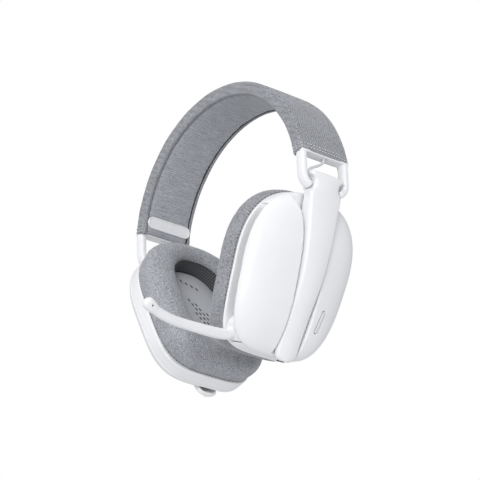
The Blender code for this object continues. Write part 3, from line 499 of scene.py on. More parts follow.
class Nodes:
    """Short calls for the shader nodes used here."""

    def __init__(self, tree):
        self.tree = tree

    def link(self, source, target):
        self.tree.links.new(source, target)

    def add(self, kind, sockets=None, **settings):
        """A node, with each of the named input sockets linked or given its value."""
        node = self.tree.nodes.new(kind)
        for name, value in settings.items():
            setattr(node, name, value)
        for name, value in (sockets or {}).items():
            if isinstance(value, bpy.types.NodeSocket):
                self.link(value, node.inputs[name])
            else:
                node.inputs[name].default_value = value
        return node

    def position(self, kind="Object"):
        return self.add("ShaderNodeTexCoord").outputs[kind]

    def turned(self, position, rotation, scale=(1, 1, 1)):
        sockets = {"Vector": position, "Rotation": rotation, "Scale": scale}
        return self.add("ShaderNodeMapping", sockets).outputs[0]

    def noise(self, position, scale, detail=2.0, rough=0.5):
        sockets = {"Vector": position, "Scale": scale, "Detail": detail, "Roughness": rough}
        return self.add("ShaderNodeTexNoise", sockets).outputs["Fac"]

    def bands(self, position, period, distortion=0.0, detail_scale=1.0):
        """Soft bands across X, one each period."""
        sockets = {"Vector": position, "Scale": math.pi / (10 * period), "Distortion": distortion,
                   "Detail": 1.0, "Detail Scale": detail_scale}
        return self.add("ShaderNodeTexWave", sockets, bands_direction="X").outputs["Fac"]

    def math(self, operation, a, b):
        return self.add("ShaderNodeMath", {0: a, 1: b}, operation=operation).outputs[0]

    def total(self, *shares):
        """The sum of factors, each times its weight."""
        parts = [self.math("MULTIPLY", factor, weight) for factor, weight in shares]
        while len(parts) > 1:
            parts[:2] = [self.math("ADD", *parts[:2])]
        return parts[0]

    def range(self, factor, low, high):
        sockets = {"Value": factor, "To Min": low, "To Max": high}
        return self.add("ShaderNodeMapRange", sockets).outputs["Result"]

    def paint(self, shader, factor, colour, *stops):
        """Base colour from a ramp of stops, each a place and a share of the colour."""
        node = self.add("ShaderNodeValToRGB", {"Fac": factor})
        elements = node.color_ramp.elements
        for index, (place, share) in enumerate(stops):
            element = elements[index] if index < 2 else elements.new(place)
            element.position = place
            element.color = (*shade(colour, share), 1.0)
        self.link(node.outputs["Color"], shader.inputs["Base Color"])

    def bump(self, shader, height, strength, distance):
        sockets = {"Height": height, "Strength": strength, "Distance": distance}
        self.link(self.add("ShaderNodeBump", sockets).outputs[0], shader.inputs["Normal"])


def new_material(name, colour, roughness, metallic=0.0):
    material = bpy.data.materials.new(name)
    material.use_nodes = True
    shader = material.node_tree.nodes["Principled BSDF"]
    shader.inputs["Base Color"].default_value = (*colour, 1.0)
    shader.inputs["Roughness"].default_value = roughness
    shader.inputs["Metallic"].default_value = metallic
    return material, shader, Nodes(material.node_tree)


def shade(colour, factor):
    return tuple(min(channel * factor, 1.0) for channel in colour)


def soft_sheen(shader):
    shader.inputs["Sheen Weight"].default_value = 0.2
    shader.inputs["Sheen Roughness"].default_value = 0.5


def heather_cloth(name, colour, weave_share):
    """Cloth of mixed light and dark yarns with a soft sheen, and as much twill as weave_share."""
    material, shader, nodes = new_material(name, colour, 0.92)
    position = nodes.position()
    rise = nodes.bands(nodes.turned(position, (0.5, 0.35, 0.9)), 0.85 * MM, 2.0, 1.6)
    fall = nodes.bands(nodes.turned(position, (-0.6, 0.5, -0.8)), 0.75 * MM, 2.0, 1.6)
    yarn = nodes.noise(position, 1700.0, 2.0, 0.55)
    patch = nodes.noise(position, 110.0)
    mixed = nodes.total((yarn, 0.95 - 0.6 * weave_share),
                        (nodes.math("MULTIPLY", rise, fall), weave_share), (patch, 0.1))
    nodes.paint(shader, mixed, colour, (0.36, 0.45), (0.69, 1.6), (0.52, 1.0))
    soft_sheen(shader)
    nodes.bump(shader, mixed, 0.6, 0.4 * MM)
    return material


def ribbed_knit(name, colour):
    """Fine knit with ribs across the band, from the arc length in the UV map."""
    material, shader, nodes = new_material(name, colour, 0.93)
    surface = nodes.position("UV")
    ribs = nodes.bands(surface, 1.5 * MM, 3.0, 0.8)
    streaks = nodes.noise(nodes.turned(surface, (0, 0, 0), (900, 90, 1)), 1.0)
    yarn = nodes.noise(nodes.position(), 1000.0, 2.0, 0.6)
    mixed = nodes.total((ribs, 0.12), (yarn, 0.5), (streaks, 0.38))
    nodes.paint(shader, mixed, colour, (0.33, 0.62), (0.70, 1.38), (0.5, 1.0))
    soft_sheen(shader)
    nodes.bump(shader, mixed, 0.7, 0.5 * MM)
    return material


def satin_plastic(name, colour, roughness=0.33):
    """Moulded plastic with a very fine spark-eroded grain and slightly uneven gloss."""
    material, shader, nodes = new_material(name, colour, roughness)
    cloud = nodes.noise(nodes.position(), 35.0, 4.0)
    nodes.paint(shader, cloud, colour, (0.3, 0.975), (0.7, 1.01))
    nodes.link(nodes.range(cloud, roughness - 0.05, roughness + 0.06), shader.inputs["Roughness"])
    shader.inputs["Specular IOR Level"].default_value = 0.45
    nodes.bump(shader, nodes.noise(nodes.position(), 2600.0), 0.12, 0.02 * MM)
    return material


def perforated_lining(name, colour):
    """Dark mesh lining with a regular grid of small holes."""
    material, shader, nodes = new_material(name, colour, 0.85)
    holes = nodes.add("ShaderNodeTexVoronoi", {
        "Vector": nodes.position("UV"), "Scale": 620.0, "Randomness": 0.0,
    }, feature="F1")
    weave = nodes.noise(nodes.position(), 1400.0)
    rim = nodes.range(holes.outputs["Distance"], 0.0, 1.0)
    nodes.paint(shader, rim, colour, (0.22, 0.18), (0.34, 1.0))
    nodes.bump(shader, nodes.total((rim, 1.0), (weave, 0.3)), 0.5, 0.4 * MM)
    return material


def thread(name, colour):
    """Twisted sewing thread."""
    material, shader, nodes = new_material(name, colour, 0.7)
    twist = nodes.bands(nodes.turned(nodes.position(), (0.8, 0.6, 0.3)), 0.25 * MM)
    nodes.paint(shader, twist, colour, (0.0, 0.7), (1.0, 1.15))
    nodes.bump(shader, twist, 0.4, 0.05 * MM)
    return material


def brushed_metal(name, colour, roughness=0.32):
    """Steel with fine drawn lines and a little variation."""
    material, shader, nodes = new_material(name, colour, roughness, 1.0)
    lines = nodes.noise(nodes.turned(nodes.position(), (0, 0, 0), (40, 900, 900)), 1.0, 3.0)
    nodes.link(nodes.range(lines, roughness - 0.08, roughness + 0.15), shader.inputs["Roughness"])
    nodes.paint(shader, lines, colour, (0.2, 0.9), (0.8, 1.05))
    nodes.bump(shader, lines, 0.1, 0.02 * MM)
    return material


FABRIC_TONE = (0.295, 0.302, 0.324)


def make_materials():
    return {
        "fabric": heather_cloth("heather_cloth", FABRIC_TONE, 0.1),
        # Lighter copy of the same cloth for the right cushion: painted light, to lift the shade that the near cup
        # casts on it
        "fabric_painted_lighter": heather_cloth("heather_cloth_painted_lighter", shade(FABRIC_TONE, 1.2), 0.1),
        "twill": heather_cloth("heather_twill", FABRIC_TONE, 0.26),
        "knit": ribbed_knit("ribbed_knit", (0.38, 0.39, 0.42)),
        "white_plastic": satin_plastic("white_satin_plastic", (0.90, 0.90, 0.91)),
        "grey_plastic": satin_plastic("pale_grey_plastic", (0.53, 0.54, 0.565), 0.5),
        "black_gauze": satin_plastic("black_gauze", (0.008, 0.008, 0.009), 0.9),
        "button_plastic": satin_plastic("button_plastic", (0.74, 0.745, 0.76), 0.4),
        "dark_plastic": satin_plastic("dark_grey_plastic", (0.055, 0.055, 0.06), 0.5),
        "steel": brushed_metal("brushed_steel", (0.62, 0.62, 0.63)),
        "board": satin_plastic("solder_mask", (0.02, 0.13, 0.06), 0.35),
        "foil": brushed_metal("foil_wrap", (0.55, 0.55, 0.56), 0.4),
        "lining": perforated_lining("perforated_lining", (0.115, 0.116, 0.124)),
        "light_thread": thread("light_thread", (0.74, 0.75, 0.78)),
        # Near-black thread: real stitches, their dark colour painted shade of the stitch dimples
        "dark_thread_painted_shade": thread("dark_thread_painted_shade", (0.03, 0.03, 0.034)),
        "seam": thread("seam_piping", (0.27, 0.275, 0.29)),
        "wire": satin_plastic("wire_jacket", (0.70, 0.71, 0.73), 0.45),
    }


def dress_cad_nodes():
    """Every node of the frame gets the finish of its slot."""
    for part in frame["record"]["subparts"]:
        finished(frame["nodes"][part["node"]].data, part["material_slot"], 35)


# ---- headband

def arch_place(depth, angle):
    """(x, z) on the arch at a depth below its outer face."""
    x = (BAND_HALF_SPAN - depth) * math.cos(angle)
    return x, ARCH_CENTRE + (BAND_RISE - depth) * math.sin(angle)


# Arc length along the outer face at evenly spaced angles
ARCH_LENGTHS = distances([Vector(arch_place(0.0, math.pi * i / 400)) for i in range(401)])


def arch_point(y, depth, angle):
    x, z = arch_place(depth, angle)
    return Vector((x, y, z))


def arch_angles(steps, margin=0.0):
    """Evenly spaced angles from one end of the sleeve to the other, less a margin."""
    start = BAND_END_ANGLE + margin
    return [start + (math.pi - 2 * start) * i / steps for i in range(steps + 1)]


def arch_length(angle):
    place = min(max(angle / math.pi, 0.0), 1.0) * (len(ARCH_LENGTHS) - 1)
    low = min(int(place), len(ARCH_LENGTHS) - 2)
    return ARCH_LENGTHS[low] + (ARCH_LENGTHS[low + 1] - ARCH_LENGTHS[low]) * (place - low)


def from_end(angle):
    """Distance along the arch from the nearer end of the sleeve."""
    return arch_length(min(angle, math.pi - angle)) - arch_length(BAND_END_ANGLE)


def arch_share(point, depth):
    """A point as (x, z) shares of the arch's half axes at a depth."""
    up = (point.z - ARCH_CENTRE) / (BAND_RISE - depth)
    return Vector((point.x / (BAND_HALF_SPAN - depth), up))


def add_arch_uv(mesh):
    """UV in metres: U along the arch and V across it."""
    layer = mesh.uv_layers.new(name="UVMap")
    for loop in mesh.loops:
        point = mesh.vertices[loop.vertex_index].co
        share = arch_share(point, 4 * MM)
        layer.data[loop.index].uv = (arch_length(math.atan2(share.y, share.x)), point.y)


def mirrored(half):
    """A section in metres, from the half of it in millimetres that ends at the middle."""
    half = [(y * MM, depth * MM) for y, depth in half]
    return half + [(-y, depth) for y, depth in reversed(half[:-1])]


# Half section of the sleeve's outer face, from its lower inner edge up to the middle
SLEEVE_HALF = (
    (16.6, 7.9), (16.9, 8.3), (17.7, 8.45), (18.5, 8.3), (18.9, 7.6), (19.0, 6.0), (19.0, 4.0),
    (19.0, 2.0), (18.95, 0.9), (18.6, 0.25), (17.8, 0.03), (15.0, -0.02), (10.0, -0.1),
    (5.0, -0.16), (0.0, -0.2),
)


def make_sleeve():
    """Sewn sleeve: rounded section, folded hems at both ends and slightly puckered gussets."""
    section = mirrored(SLEEVE_HALF)
    work = bmesh.new()
    grid = []
    for angle in arch_angles(150):
        inside = smoothstep(HEM_LENGTH - 0.8 * MM, HEM_LENGTH + 0.8 * MM, from_end(angle))
        hem = 0.32 * MM * (1 - inside)
        row = []
        for y, depth in section:
            side = smoothstep(12 * MM, BAND_HALF_WIDTH, abs(y))
            ripple = noise.noise(Vector((arch_length(angle) * 90, y * 25, 3.0))) * 0.22 * MM * side
            spread = y + math.copysign((hem * 0.5 + ripple * 0.5) * side, y)
            depth -= hem * (1 - side) + ripple
            row.append(work.verts.new(arch_point(spread, depth, angle)))
        grid.append(row)
    for lower, upper in zip(grid, grid[1:]):
        for j in range(len(section) - 1):
            work.faces.new((lower[j], lower[j + 1], upper[j + 1], upper[j]))
    result = modified(mesh_of(work), ("SOLIDIFY", {"thickness": SLEEVE_THICKNESS, "offset": -1.0}),
                      ("SUBSURF", {"levels": 1}))
    add_arch_uv(result)
    piece("headband_sleeve", result, "twill", "headband", ["headband_cover"])


def band_curve(y, depth):
    """A line along the arch at one distance across it and one depth."""
    return [arch_point(y, depth, angle) for angle in arch_angles(220)]


def make_band_seams():
    """Dark piping between sleeve and panel, a seam along each shoulder, and the hem stitches."""
    piping = tube(band_curve(-17.0 * MM, 8.3 * MM), 0.2 * MM, 8)
    piece("panel_piping", piping, "seam", "headband")
    for name, y in (("front", -19.0 * MM), ("rear", 19.0 * MM)):
        row = stitches(band_curve(y, 2.6 * MM), 1.5 * MM, 0.9 * MM, 0.15 * MM)
        piece(f"shoulder_stitches_{name}", row, "seam", "headband")
    rows = []
    for distance in (2.3 * MM, 4.3 * MM):
        angle = BAND_END_ANGLE + distance / (BAND_RISE * 0.95)
        route = []
        for y, depth in mirrored(SLEEVE_HALF[3:]):
            edge = smoothstep(12 * MM, BAND_HALF_WIDTH, abs(y))
            spread = y + math.copysign(0.35 * MM * edge, y)
            route.append(arch_point(spread, depth - 0.72 * MM * (1 - edge), angle))
        rows.append(stitches(catmull(route, 6), 1.6 * MM, 0.7 * MM, 0.3 * MM))
    band_pieces("hem_stitches", joined(*rows), "light_thread")


def make_inner_panel():
    """Padded knit panel under the band."""
    section = mirrored(((16.6, 5.0), (17.2, 5.6), (17.25, 7.5), (16.8, 8.35), (13.0, 8.6),
                        (7.0, 8.7), (0.0, 8.75)))
    rings = [[arch_point(y, depth, angle) for y, depth in section]
             for angle in arch_angles(90, math.radians(0.6))]

    def held(point):
        above = arch_share(point, 5.9 * MM).length > 1.0
        near_end = point.z < ARCH_CENTRE + 13 * MM
        return above or near_end or abs(point.y) > 16.4 * MM

    mesh = puffed(loft(rings), held, 2.0 * MM, 0.6 * MM)
    add_arch_uv(mesh)
    piece("headband_panel", mesh, "knit", "headband", ["headband_inner_pad"])


def pill(length, height, steps=16):
    """The outline of a long shape with half round ends."""
    radius = height / 2
    reach = length / 2 - radius
    points = []
    for side in (1, -1):
        for i in range(steps + 1):
            angle = -math.pi / 2 + math.pi * i / steps
            along, across = reach + radius * math.cos(angle), radius * math.sin(angle)
            points.append((side * along, side * across))
    return points


def pill_at(y, z, degrees, *size):
    """A pill about (y, z), its long side turned up from Y by the given degrees."""
    turn = Matrix.Rotation(math.radians(degrees), 2)
    return [tuple(Vector((y, z)) + turn @ Vector(point)) for point in pill(*size)]


def make_marker_plates():
    """Pill shaped plates with a raised lip and a small moulded tick."""
    length, height, thick = 34.0 * MM, 7.5 * MM, 1.4 * MM
    lip = 0.75 * MM
    blank = plate(pill(length, height), -thick, 0.0)
    recess = plate(pill(length - 2 * lip, height - 2 * lip), -thick - MM, -thick + 0.4 * MM)
    tick = box((-thick + 0.15 * MM, 1.0 * MM, -1.6 * MM), (-thick + 0.55 * MM, 1.35 * MM, 1.6 * MM))
    shape = joined(moulded(blank, [recess], 0.22 * MM, 4), tick)
    angle = math.radians(14.6)
    lean = math.atan2(math.sin(angle) / BAND_RISE, math.cos(angle) / BAND_HALF_SPAN)
    x, z = arch_place(BAND_DEPTH + 0.3 * MM, angle)
    placed(shape, Matrix.Translation((x, 0.0, z)) @ Matrix.Rotation(-lean, 4, "Y"))
    band_pieces("marker_plate_cap", shape, "white_plastic", "marker_plate")


def bar(path, half_x, half_across, power, around, taper):
    """A bar along a path of vectors in a plane of constant X, with a rounded box section."""
    rings = []
    for i, point in enumerate(path):
        way = ahead(path, i).normalized()
        across = Vector((0.0, -way.z, way.y))
        scale_x, scale_n = taper(i / (len(path) - 1))
        ring = []
        for a, b in circle(around):
            u = half_x * scale_x * signed_power(a, 2 / power)
            v = half_across * scale_n * signed_power(b, 2 / power)
            ring.append(point + Vector((u, 0, 0)) + across * v)
        rings.append(ring)
    return loft(rings)


def make_forks():
    """Moulded forks: a crossbar under the hem and two prongs that turn in to the arm."""
    guide = [(16.8, 11.8), (16.85, 5.0), (16.85, 0.5), (16.7, -3.0), (15.8, -5.7), (14.2, -7.7),
             (12.7, -8.9), (11.6, -9.6)]
    guide = [Vector((PIVOT_X, y * MM, ARCH_CENTRE + z * MM)) for y, z in guide]
    path = catmull(guide, 8)

    def taper(t):
        end = math.sqrt(max(1 - smoothstep(0.88, 1.0, t) ** 2, 0.05))
        return end, end

    prong = bar(path, FORK_HALF_DEPTH, 2.15 * MM, 3.0, 28, taper)
    other = copied(prong, Matrix.Diagonal((1, -1, 1, 1)))
    reach = BAND_HALF_WIDTH + 0.1 * MM
    cross = box((PIVOT_X - FORK_HALF_DEPTH, -reach, CROSSBAR_BOTTOM),
                (PIVOT_X + FORK_HALF_DEPTH, reach, FORK_TOP))
    tongue = box((PIVOT_X - 0.6 * MM, -10 * MM, FORK_TOP - MM),
                 (PIVOT_X + 0.6 * MM, 10 * MM, FORK_TOP + 7 * MM))
    hole = rod((PIVOT_X, 1.2 * MM, CROSSBAR_BOTTOM - 4 * MM),
               (PIVOT_X, 1.2 * MM, FORK_TOP), 1.5 * MM)
    shape = moulded(joined(prong, other, cross, tongue), [hole], 0.34 * MM, 5, merged=True)
    band_pieces("fork_moulding", shape, "white_plastic", "fork")


def make_link_wires():
    """Leads from the crossbar's bush to the front corner of each arm's top."""
    guide = ((76.0, 1.2, 13.2), (76.0, 1.0, 10.4), (75.9, -0.8, 8.0), (75.8, -3.6, 6.2),
             (75.7, -6.6, 4.6), (75.7, -9.4, 3.1), (75.8, -10.9, 1.3), (75.9, -11.3, -1.0))
    route = [Vector((x * MM, y * MM, ARCH_CENTRE + z * MM)) for x, y, z in guide]
    lead = tube(catmull(route, 8), 0.85 * MM, 14)
    low = Vector((PIVOT_X, 1.2 * MM, CROSSBAR_BOTTOM - 0.7 * MM))
    high = Vector((PIVOT_X, 1.2 * MM, CROSSBAR_BOTTOM + 1.4 * MM))
    bush = moulded(rod(low, high, 1.35 * MM), (), 0.18 * MM, 3)
    band_pieces("wire_bush", bush, "wire", "wire_grommet")
    for side_name, side in SIDES:
        mirror = mirror_matrix(side)
        wire = piece("link_lead_" + side_name, copied(lead, mirror), "wire", None,
                     ["link_wire_" + side_name])
        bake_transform(wire)


# ---- outlines of the cup

def quarter(y, z):
    """Half width, taper and roundness of the quarter of the outline that (y, z) lies in."""
    width, taper = (FRONT_HALF_WIDTH, FRONT_TAPER) if y < 0 else (REAR_HALF_WIDTH, REAR_TAPER)
    if z > 0:
        return width, taper, ROUNDNESS_TOP
    return width, taper, ROUNDNESS_FRONT_FOOT if y < 0 else ROUNDNESS_REAR_FOOT


def cup_point(angle, inset=0.0, scale=1.0, front_inset=None, foot=0.0):
    """A point (y, z) of the cup's outline. With foot its lower front corner is squarer."""
    width, taper, roundness = quarter(math.cos(angle), math.sin(angle))
    across = signed_power(math.cos(angle), 2 / roundness)
    up = signed_power(math.sin(angle), 2 / roundness)
    if front_inset is not None and across < 0:
        width -= front_inset
    else:
        width -= inset
    y = width * across * (1 + taper * up) * scale
    if foot and up < 0:
        share = smoothstep(0.0, 0.5, -across) if across < 0 else 0.0
        lower = -abs(up) ** (1 - 0.4 * foot * share)
        up = lower * (1 + 0.022 * foot)
    return y, (CUP_HALF_HEIGHT - inset) * up * scale


def even_angles(place, count, fine=2400):
    """Angles that put points evenly along an outline."""
    places = [Vector(place(2 * math.pi * i / fine)) for i in range(fine + 1)]
    lengths = distances(places)
    angles = []
    j = 0
    for i in range(count):
        target = lengths[-1] * i / count
        while lengths[j + 1] < target:
            j += 1
        part = (target - lengths[j]) / max(lengths[j + 1] - lengths[j], 1e-12)
        angles.append(2 * math.pi * (j + part) / fine)
    return angles


CUP_ANGLES = even_angles(cup_point, 132)


def cup_ring(level, inset=0.0, scale=1.0, front_inset=None, foot=0.0):
    return [(level, *cup_point(angle, inset, scale, front_inset, foot)) for angle in CUP_ANGLES]


def ear_point(angle, inset=0.0, scale=1.0):
    y = (EAR_HALF_WIDTH - inset) * signed_power(math.cos(angle), 2 / EAR_ROUNDNESS)
    z = (EAR_HALF_HEIGHT - inset) * signed_power(math.sin(angle), 2 / EAR_ROUNDNESS)
    return y * scale, EAR_CENTRE + z * scale


def ear_share(y, z, margin=0.0):
    """How far out of the ear hole's centre a point lies, 1 at the hole's half axes."""
    return math.hypot(y / (EAR_HALF_WIDTH + margin), (z - EAR_CENTRE) / (EAR_HALF_HEIGHT + margin))


EAR_ANGLES = even_angles(ear_point, 120)


def ear_ring(level, inset=0.0, scale=1.0):
    return [(level, *ear_point(angle, inset, scale)) for angle in EAR_ANGLES]


def front_edge(height):
    width, taper, roundness = quarter(-1, height)
    up = height / CUP_HALF_HEIGHT
    across = (1 - abs(up) ** roundness) ** (1 / roundness)
    return -width * across * (1 + taper * up)


def dome(inset, base, steps=16):
    """The cover's domed body, or with an inset the space inside it."""
    rings = []
    if base < COVER_BASE:
        rings.append(cup_ring(base, inset))
    rise = DOME_RISE - inset
    for i in range(steps):
        level = math.sin(0.5 * math.pi * i / steps)
        scale = (1 - level ** (1 / DOME_ROUNDING)) ** (1 / DOME_FALL)
        rings.append(cup_ring(COVER_BASE + rise * level, inset, max(scale, 0.06)))
    return loft(rings)


def dome_height(y, z):
    width, taper, roundness = quarter(y, z)
    up = z / CUP_HALF_HEIGHT
    across = abs(y) / (width * (1 + taper * up))
    radius = min((across ** roundness + abs(up) ** roundness) ** (1 / roundness), 1.0)
    return COVER_BASE + DOME_RISE * (1 - radius ** DOME_FALL) ** DOME_ROUNDING


# ---- arms

def arm_rows(steps=5):
    """Smoothed stations of the arm: along, half width, outer height, in metres."""
    return [row * MM for row in catmull([Vector(station) for station in ARM_STATIONS], steps)]


def arm_section(along, half_width, top, bottom, around=12):
    """D shaped section with a crowned outer face and soft shoulders."""
    crown = 0.9 * MM
    edge = min(2.0 * MM, half_width * 0.6)
    inner = half_width - edge
    ring = [(bottom, half_width, along)]
    shoulder = []
    for i in range(7):
        angle = 0.5 * math.pi * i / 6
        level = top - crown - edge + edge * math.sin(angle)
        shoulder.append((level, inner + edge * math.cos(angle)))
    for i in range(1, around):
        y = inner * (1 - i / around)
        shoulder.append((top - crown * (y / max(inner, 1e-6)) ** 2, y))
    ring += [(level, y, along) for level, y in shoulder]
    ring.append((top, 0.0, along))
    ring += [(level, -y, along) for level, y in reversed(shoulder)]
    ring.append((bottom, -half_width, along))
    return ring


def arm_solid(inset, drop):
    rows = arm_rows()
    if inset:
        rows = [row for row in rows if -49.9 * MM < row.x < 62.8 * MM]
    rings = []
    for along, half_width, top in rows:
        lower = 9.2 * MM if along > 51 * MM else ARM_BOTTOM
        rings.append(arm_section(along, half_width - inset, top - inset, lower - drop))
    return loft(rings)


def arm_half_width(along):
    rows = [station for station in ARM_STATIONS if station[0] < 50.5]
    for (z0, w0, _), (z1, w1, _) in zip(rows, rows[1:]):
        if z1 * MM <= along <= z0 * MM:
            return MM * (w1 + (w0 - w1) * (along / MM - z1) / (z0 - z1))
    return MM * (rows[0][1] if along > 0 else rows[-1][1])


def make_arms():
    shape = moulded(arm_solid(0.0, 0.0), [arm_solid(ARM_WALL, 8 * MM)], 0.5 * MM, 8)
    cup_pieces("arm_moulding", shape, "white_plastic", "arm_shell", body="arm")


# ---- ear cups

def channel_outline(grow=0.0):
    """Plan of the arm's channel. Its top flares, more in front of the arm than behind it."""
    front = ((64.0, 26.5), (56.0, 25.0), (50.0, 22.8), (46.0, 20.2), (42.0, 17.0), (38.0, 14.3),
             (33.0, 12.6), (24.0, 11.1))
    rear = ((64.0, 18.0), (56.0, 16.2), (50.0, 14.8), (44.0, 13.6), (38.0, 12.7), (32.0, 12.3),
            (24.0, 11.4))
    below = (16, 10, 3.5, -3, -8.5, -15, -22, -30, -37, -44.5)
    sides = []
    for flare, gap in ((rear, CHANNEL_REAR_GAP), (front, CHANNEL_GAP)):
        side = [(y * MM + grow, z * MM) for z, y in flare]
        for z in below:
            side.append((arm_half_width(z * MM) + gap + grow, z * MM))
        side.append((7.7 * MM + gap + grow, -60 * MM))
        sides.append(side)
    return sides[0] + [(-y, z) for y, z in reversed(sides[1])]


# The rocker's middle and the degrees that it is turned up from Y
ROCKER_PLACE = (16.2 * MM, -23.2 * MM, 80.0)


def make_covers():
    """Domed covers with the arm's channel, and on the left the rocker's opening."""
    high = 32 * MM
    walls = plate(channel_outline(COVER_WALL), CHANNEL_FLOOR - COVER_WALL, high)
    inside = cut(dome(COVER_WALL, 5 * MM), walls)
    for side in CUPS:
        cuts = [plate(channel_outline(), CHANNEL_FLOOR, high), inside.copy()]
        if side == "left":
            cuts.append(plate(pill_at(*ROCKER_PLACE, 14.7 * MM, 2.85 * MM), 12 * MM, 26 * MM))
        shape = moulded(dome(0.0, COVER_BASE), cuts, 0.55 * MM, 9)
        cup_piece(side, "cover_moulding", shape, "white_plastic", "cup_cover")


def boom_disc(low, high, radius, segments):
    """A disc about the boom's pivot."""
    return rod((low, *BOOM_PIVOT.yz), (high, *BOOM_PIVOT.yz), radius, segments)


def make_shells():
    """Side walls of the cups, with the boom's groove on the left one."""
    for side in CUPS:
        left = side == "left"
        front = GROOVE_BACK if left else SHELL_WALL
        top = SHELL_HEIGHT if left else COVER_BASE + 0.15 * MM
        rings = [
            cup_ring(0.0, 0.3 * MM, foot=1.0),
            cup_ring(0.4 * MM, foot=1.0),
            cup_ring(0.5 * SHELL_HEIGHT, foot=0.55),
            cup_ring(top - 0.3 * MM, foot=0.05),
            cup_ring(top, 0.2 * MM),
            cup_ring(top, SHELL_WALL, front_inset=front),
            cup_ring(0.0, SHELL_WALL, front_inset=front),
        ]
        cuts = []
        if left:
            rows = [(-41 + 78 * i / 40) * MM for i in range(41)]
            outer = [(front_edge(z) - 6 * MM, z) for z in rows]
            inner = []
            for z in reversed(rows):
                close = smoothstep(GROOVE_TOP - 7 * MM, GROOVE_TOP, z) * 6 * MM
                inner.append((front_edge(z) + GROOVE_INSET - close, z))
            cuts = [
                plate(outer + inner, LIP_HEIGHT, SHELL_HEIGHT + MM),
                boom_disc(LIP_HEIGHT, 12 * MM, BOOM_ROOT_RADIUS + 0.45 * MM, 64),
                box((LIP_HEIGHT, -60 * MM, -60 * MM), (9 * MM, BOOM_PIVOT.y, BOOM_PIVOT.z)),
                # openings for the button and the port
                box((2.5 * MM, 2.3 * MM, -56 * MM), (5.9 * MM, 8.1 * MM, -42 * MM)),
                box((2.3 * MM, 9.2 * MM, -56 * MM), (6.1 * MM, 18.8 * MM, -42 * MM)),
            ]
        shape = moulded(loft(rings, closed=True), cuts, 0.5 * MM, 5)
        cup_piece(side, "shell_moulding", shape, "white_plastic", "cup_shell")


def slit_outlines(grow=0.0):
    """Leaning pill slits: a row near the top and a widening patch at the middle."""
    centres = [(-8.1 + 3.9 * i, 26.7 - 1.3 * i) for i in range(4)]
    for row in range(6):
        for column in range(-(row // 3), min(row, 1) + row // 3 + 1):
            centres.append((-7.2 + 1.95 * row + 3.05 * column, 10.4 - 3.35 * row + 0.6 * column))
    return [pill_at(y * MM, z * MM, -60, 2.6 * MM + grow, 1.6 * MM + grow, 5) for y, z in centres]


def make_baffles():
    """Speaker cover plates with slits, and the dark gauze behind them."""
    rings = [
        ear_ring(-4.1 * MM, 0, 0.15), ear_ring(-3.95 * MM, 0, 0.5), ear_ring(-3.6 * MM, 4 * MM),
        ear_ring(-3.1 * MM, 1.3 * MM), ear_ring(-2.6 * MM, 0.9 * MM), ear_ring(-1.0 * MM, 0.9 * MM),
        ear_ring(-1.0 * MM, 4.5 * MM), ear_ring(-2.2 * MM, 6 * MM), ear_ring(-2.8 * MM, 0, 0.15),
    ]
    solid = loft(rings)
    holes = joined(*[plate(outline, -8 * MM, 3 * MM) for outline in slit_outlines()])
    bevel = {"width": 0.12 * MM, "segments": 2, "limit_method": "ANGLE",
             "angle_limit": math.radians(50)}
    shape = modified(solid, ("BOOLEAN", {"object": holes}), ("BEVEL", bevel))
    sheet = loft([ear_ring(-1.9 * MM, 6.3 * MM), ear_ring(-1.5 * MM, 6.3 * MM)])
    felts = []
    for outline in slit_outlines(0.1 * MM):
        share = ear_share(*(sum(places) / len(outline) for places in zip(*outline)))
        felts.append(plate(outline, -3.72 * MM + 0.45 * MM * share ** 2, -1.7 * MM))
    gauze = joined(sheet, *felts)
    cup_pieces("speaker_plate", shape, "grey_plastic", "baffle", sharp=30)
    cup_pieces("speaker_gauze", gauze, "black_gauze", sharp=30)


def make_linings():
    """Perforated inner wall of the ear hole."""
    levels = [-1.1, -4, -7, -10, -12, -12.6]
    rings = [ear_ring(level * MM, 0.1 * MM) for level in levels]
    rings += [ear_ring(level * MM, -0.6 * MM) for level in reversed(levels)]
    shape = loft(rings, closed=True)
    layer = shape.uv_layers.new(name="UVMap")
    count = len(EAR_ANGLES)
    perimeter = distances([Vector(ear_point(a)) for a in EAR_ANGLES + EAR_ANGLES[:1]])[-1]
    for polygon in shape.polygons:
        columns = [shape.loops[i].vertex_index % count for i in polygon.loop_indices]
        wraps = max(columns) - min(columns) > 1
        for i, column in zip(polygon.loop_indices, columns):
            place = column + (count if wraps and column == 0 else 0)
            point = shape.vertices[shape.loops[i].vertex_index].co
            layer.data[i].uv = (place / count * perimeter, point.x)
    for lining in cup_pieces("ear_lining", shape, "lining", "cushion_lining", sharp=50):
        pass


CUSHION_SECTION = (
    # share of the way from rim to ear hole, offset outwards from it, level, in millimetres
    (0, -1.2, 1.2), (0, -0.15, 0.2), (0, 0.3, -3.0), (0, 1.2, -7.0), (0, 1.3, -11.0),
    (0, 0.3, -14.4), (0, -2.4, -16.8), (0, -6.5, -17.9), (1, 6.0, -17.6), (1, 2.4, -16.2),
    (1, 0.9, -14.2), (1, 0.7, -9.0), (1, 0.9, -2.6), (0, -4.0, -1.4), (0, -4.0, 1.2),
)


def make_cushions():
    """Ear cushions: cloth swollen by pressure, held at the clip ring and at the lining. The right one wears a
    lighter copy of the cloth as painted light.
    """
    rings = []
    for share, offset, level in CUSHION_SECTION:
        if share:
            ring = [(level * MM, *ear_point(angle, -offset * MM)) for angle in CUP_ANGLES]
        else:
            ring = cup_ring(level * MM, -offset * MM)
        rings.append(ring)

    def held(point):
        in_hole = ear_share(point.y, point.z, 1.6 * MM) < 1.02 and point.x > -14 * MM
        return point.x > -2.6 * MM or in_hole

    shape = seamed(puffed(loft(rings, closed=True), held, 2.2 * MM, 1.2 * MM))
    left, right = cup_pieces("ear_cushion", shape, "fabric", "cushion")
    # The right cushion takes the lighter copy of the cloth: painted light against the near cup's shade
    finished(right.data, "fabric_painted_lighter")


SEAM_INSET = 4.6 * MM


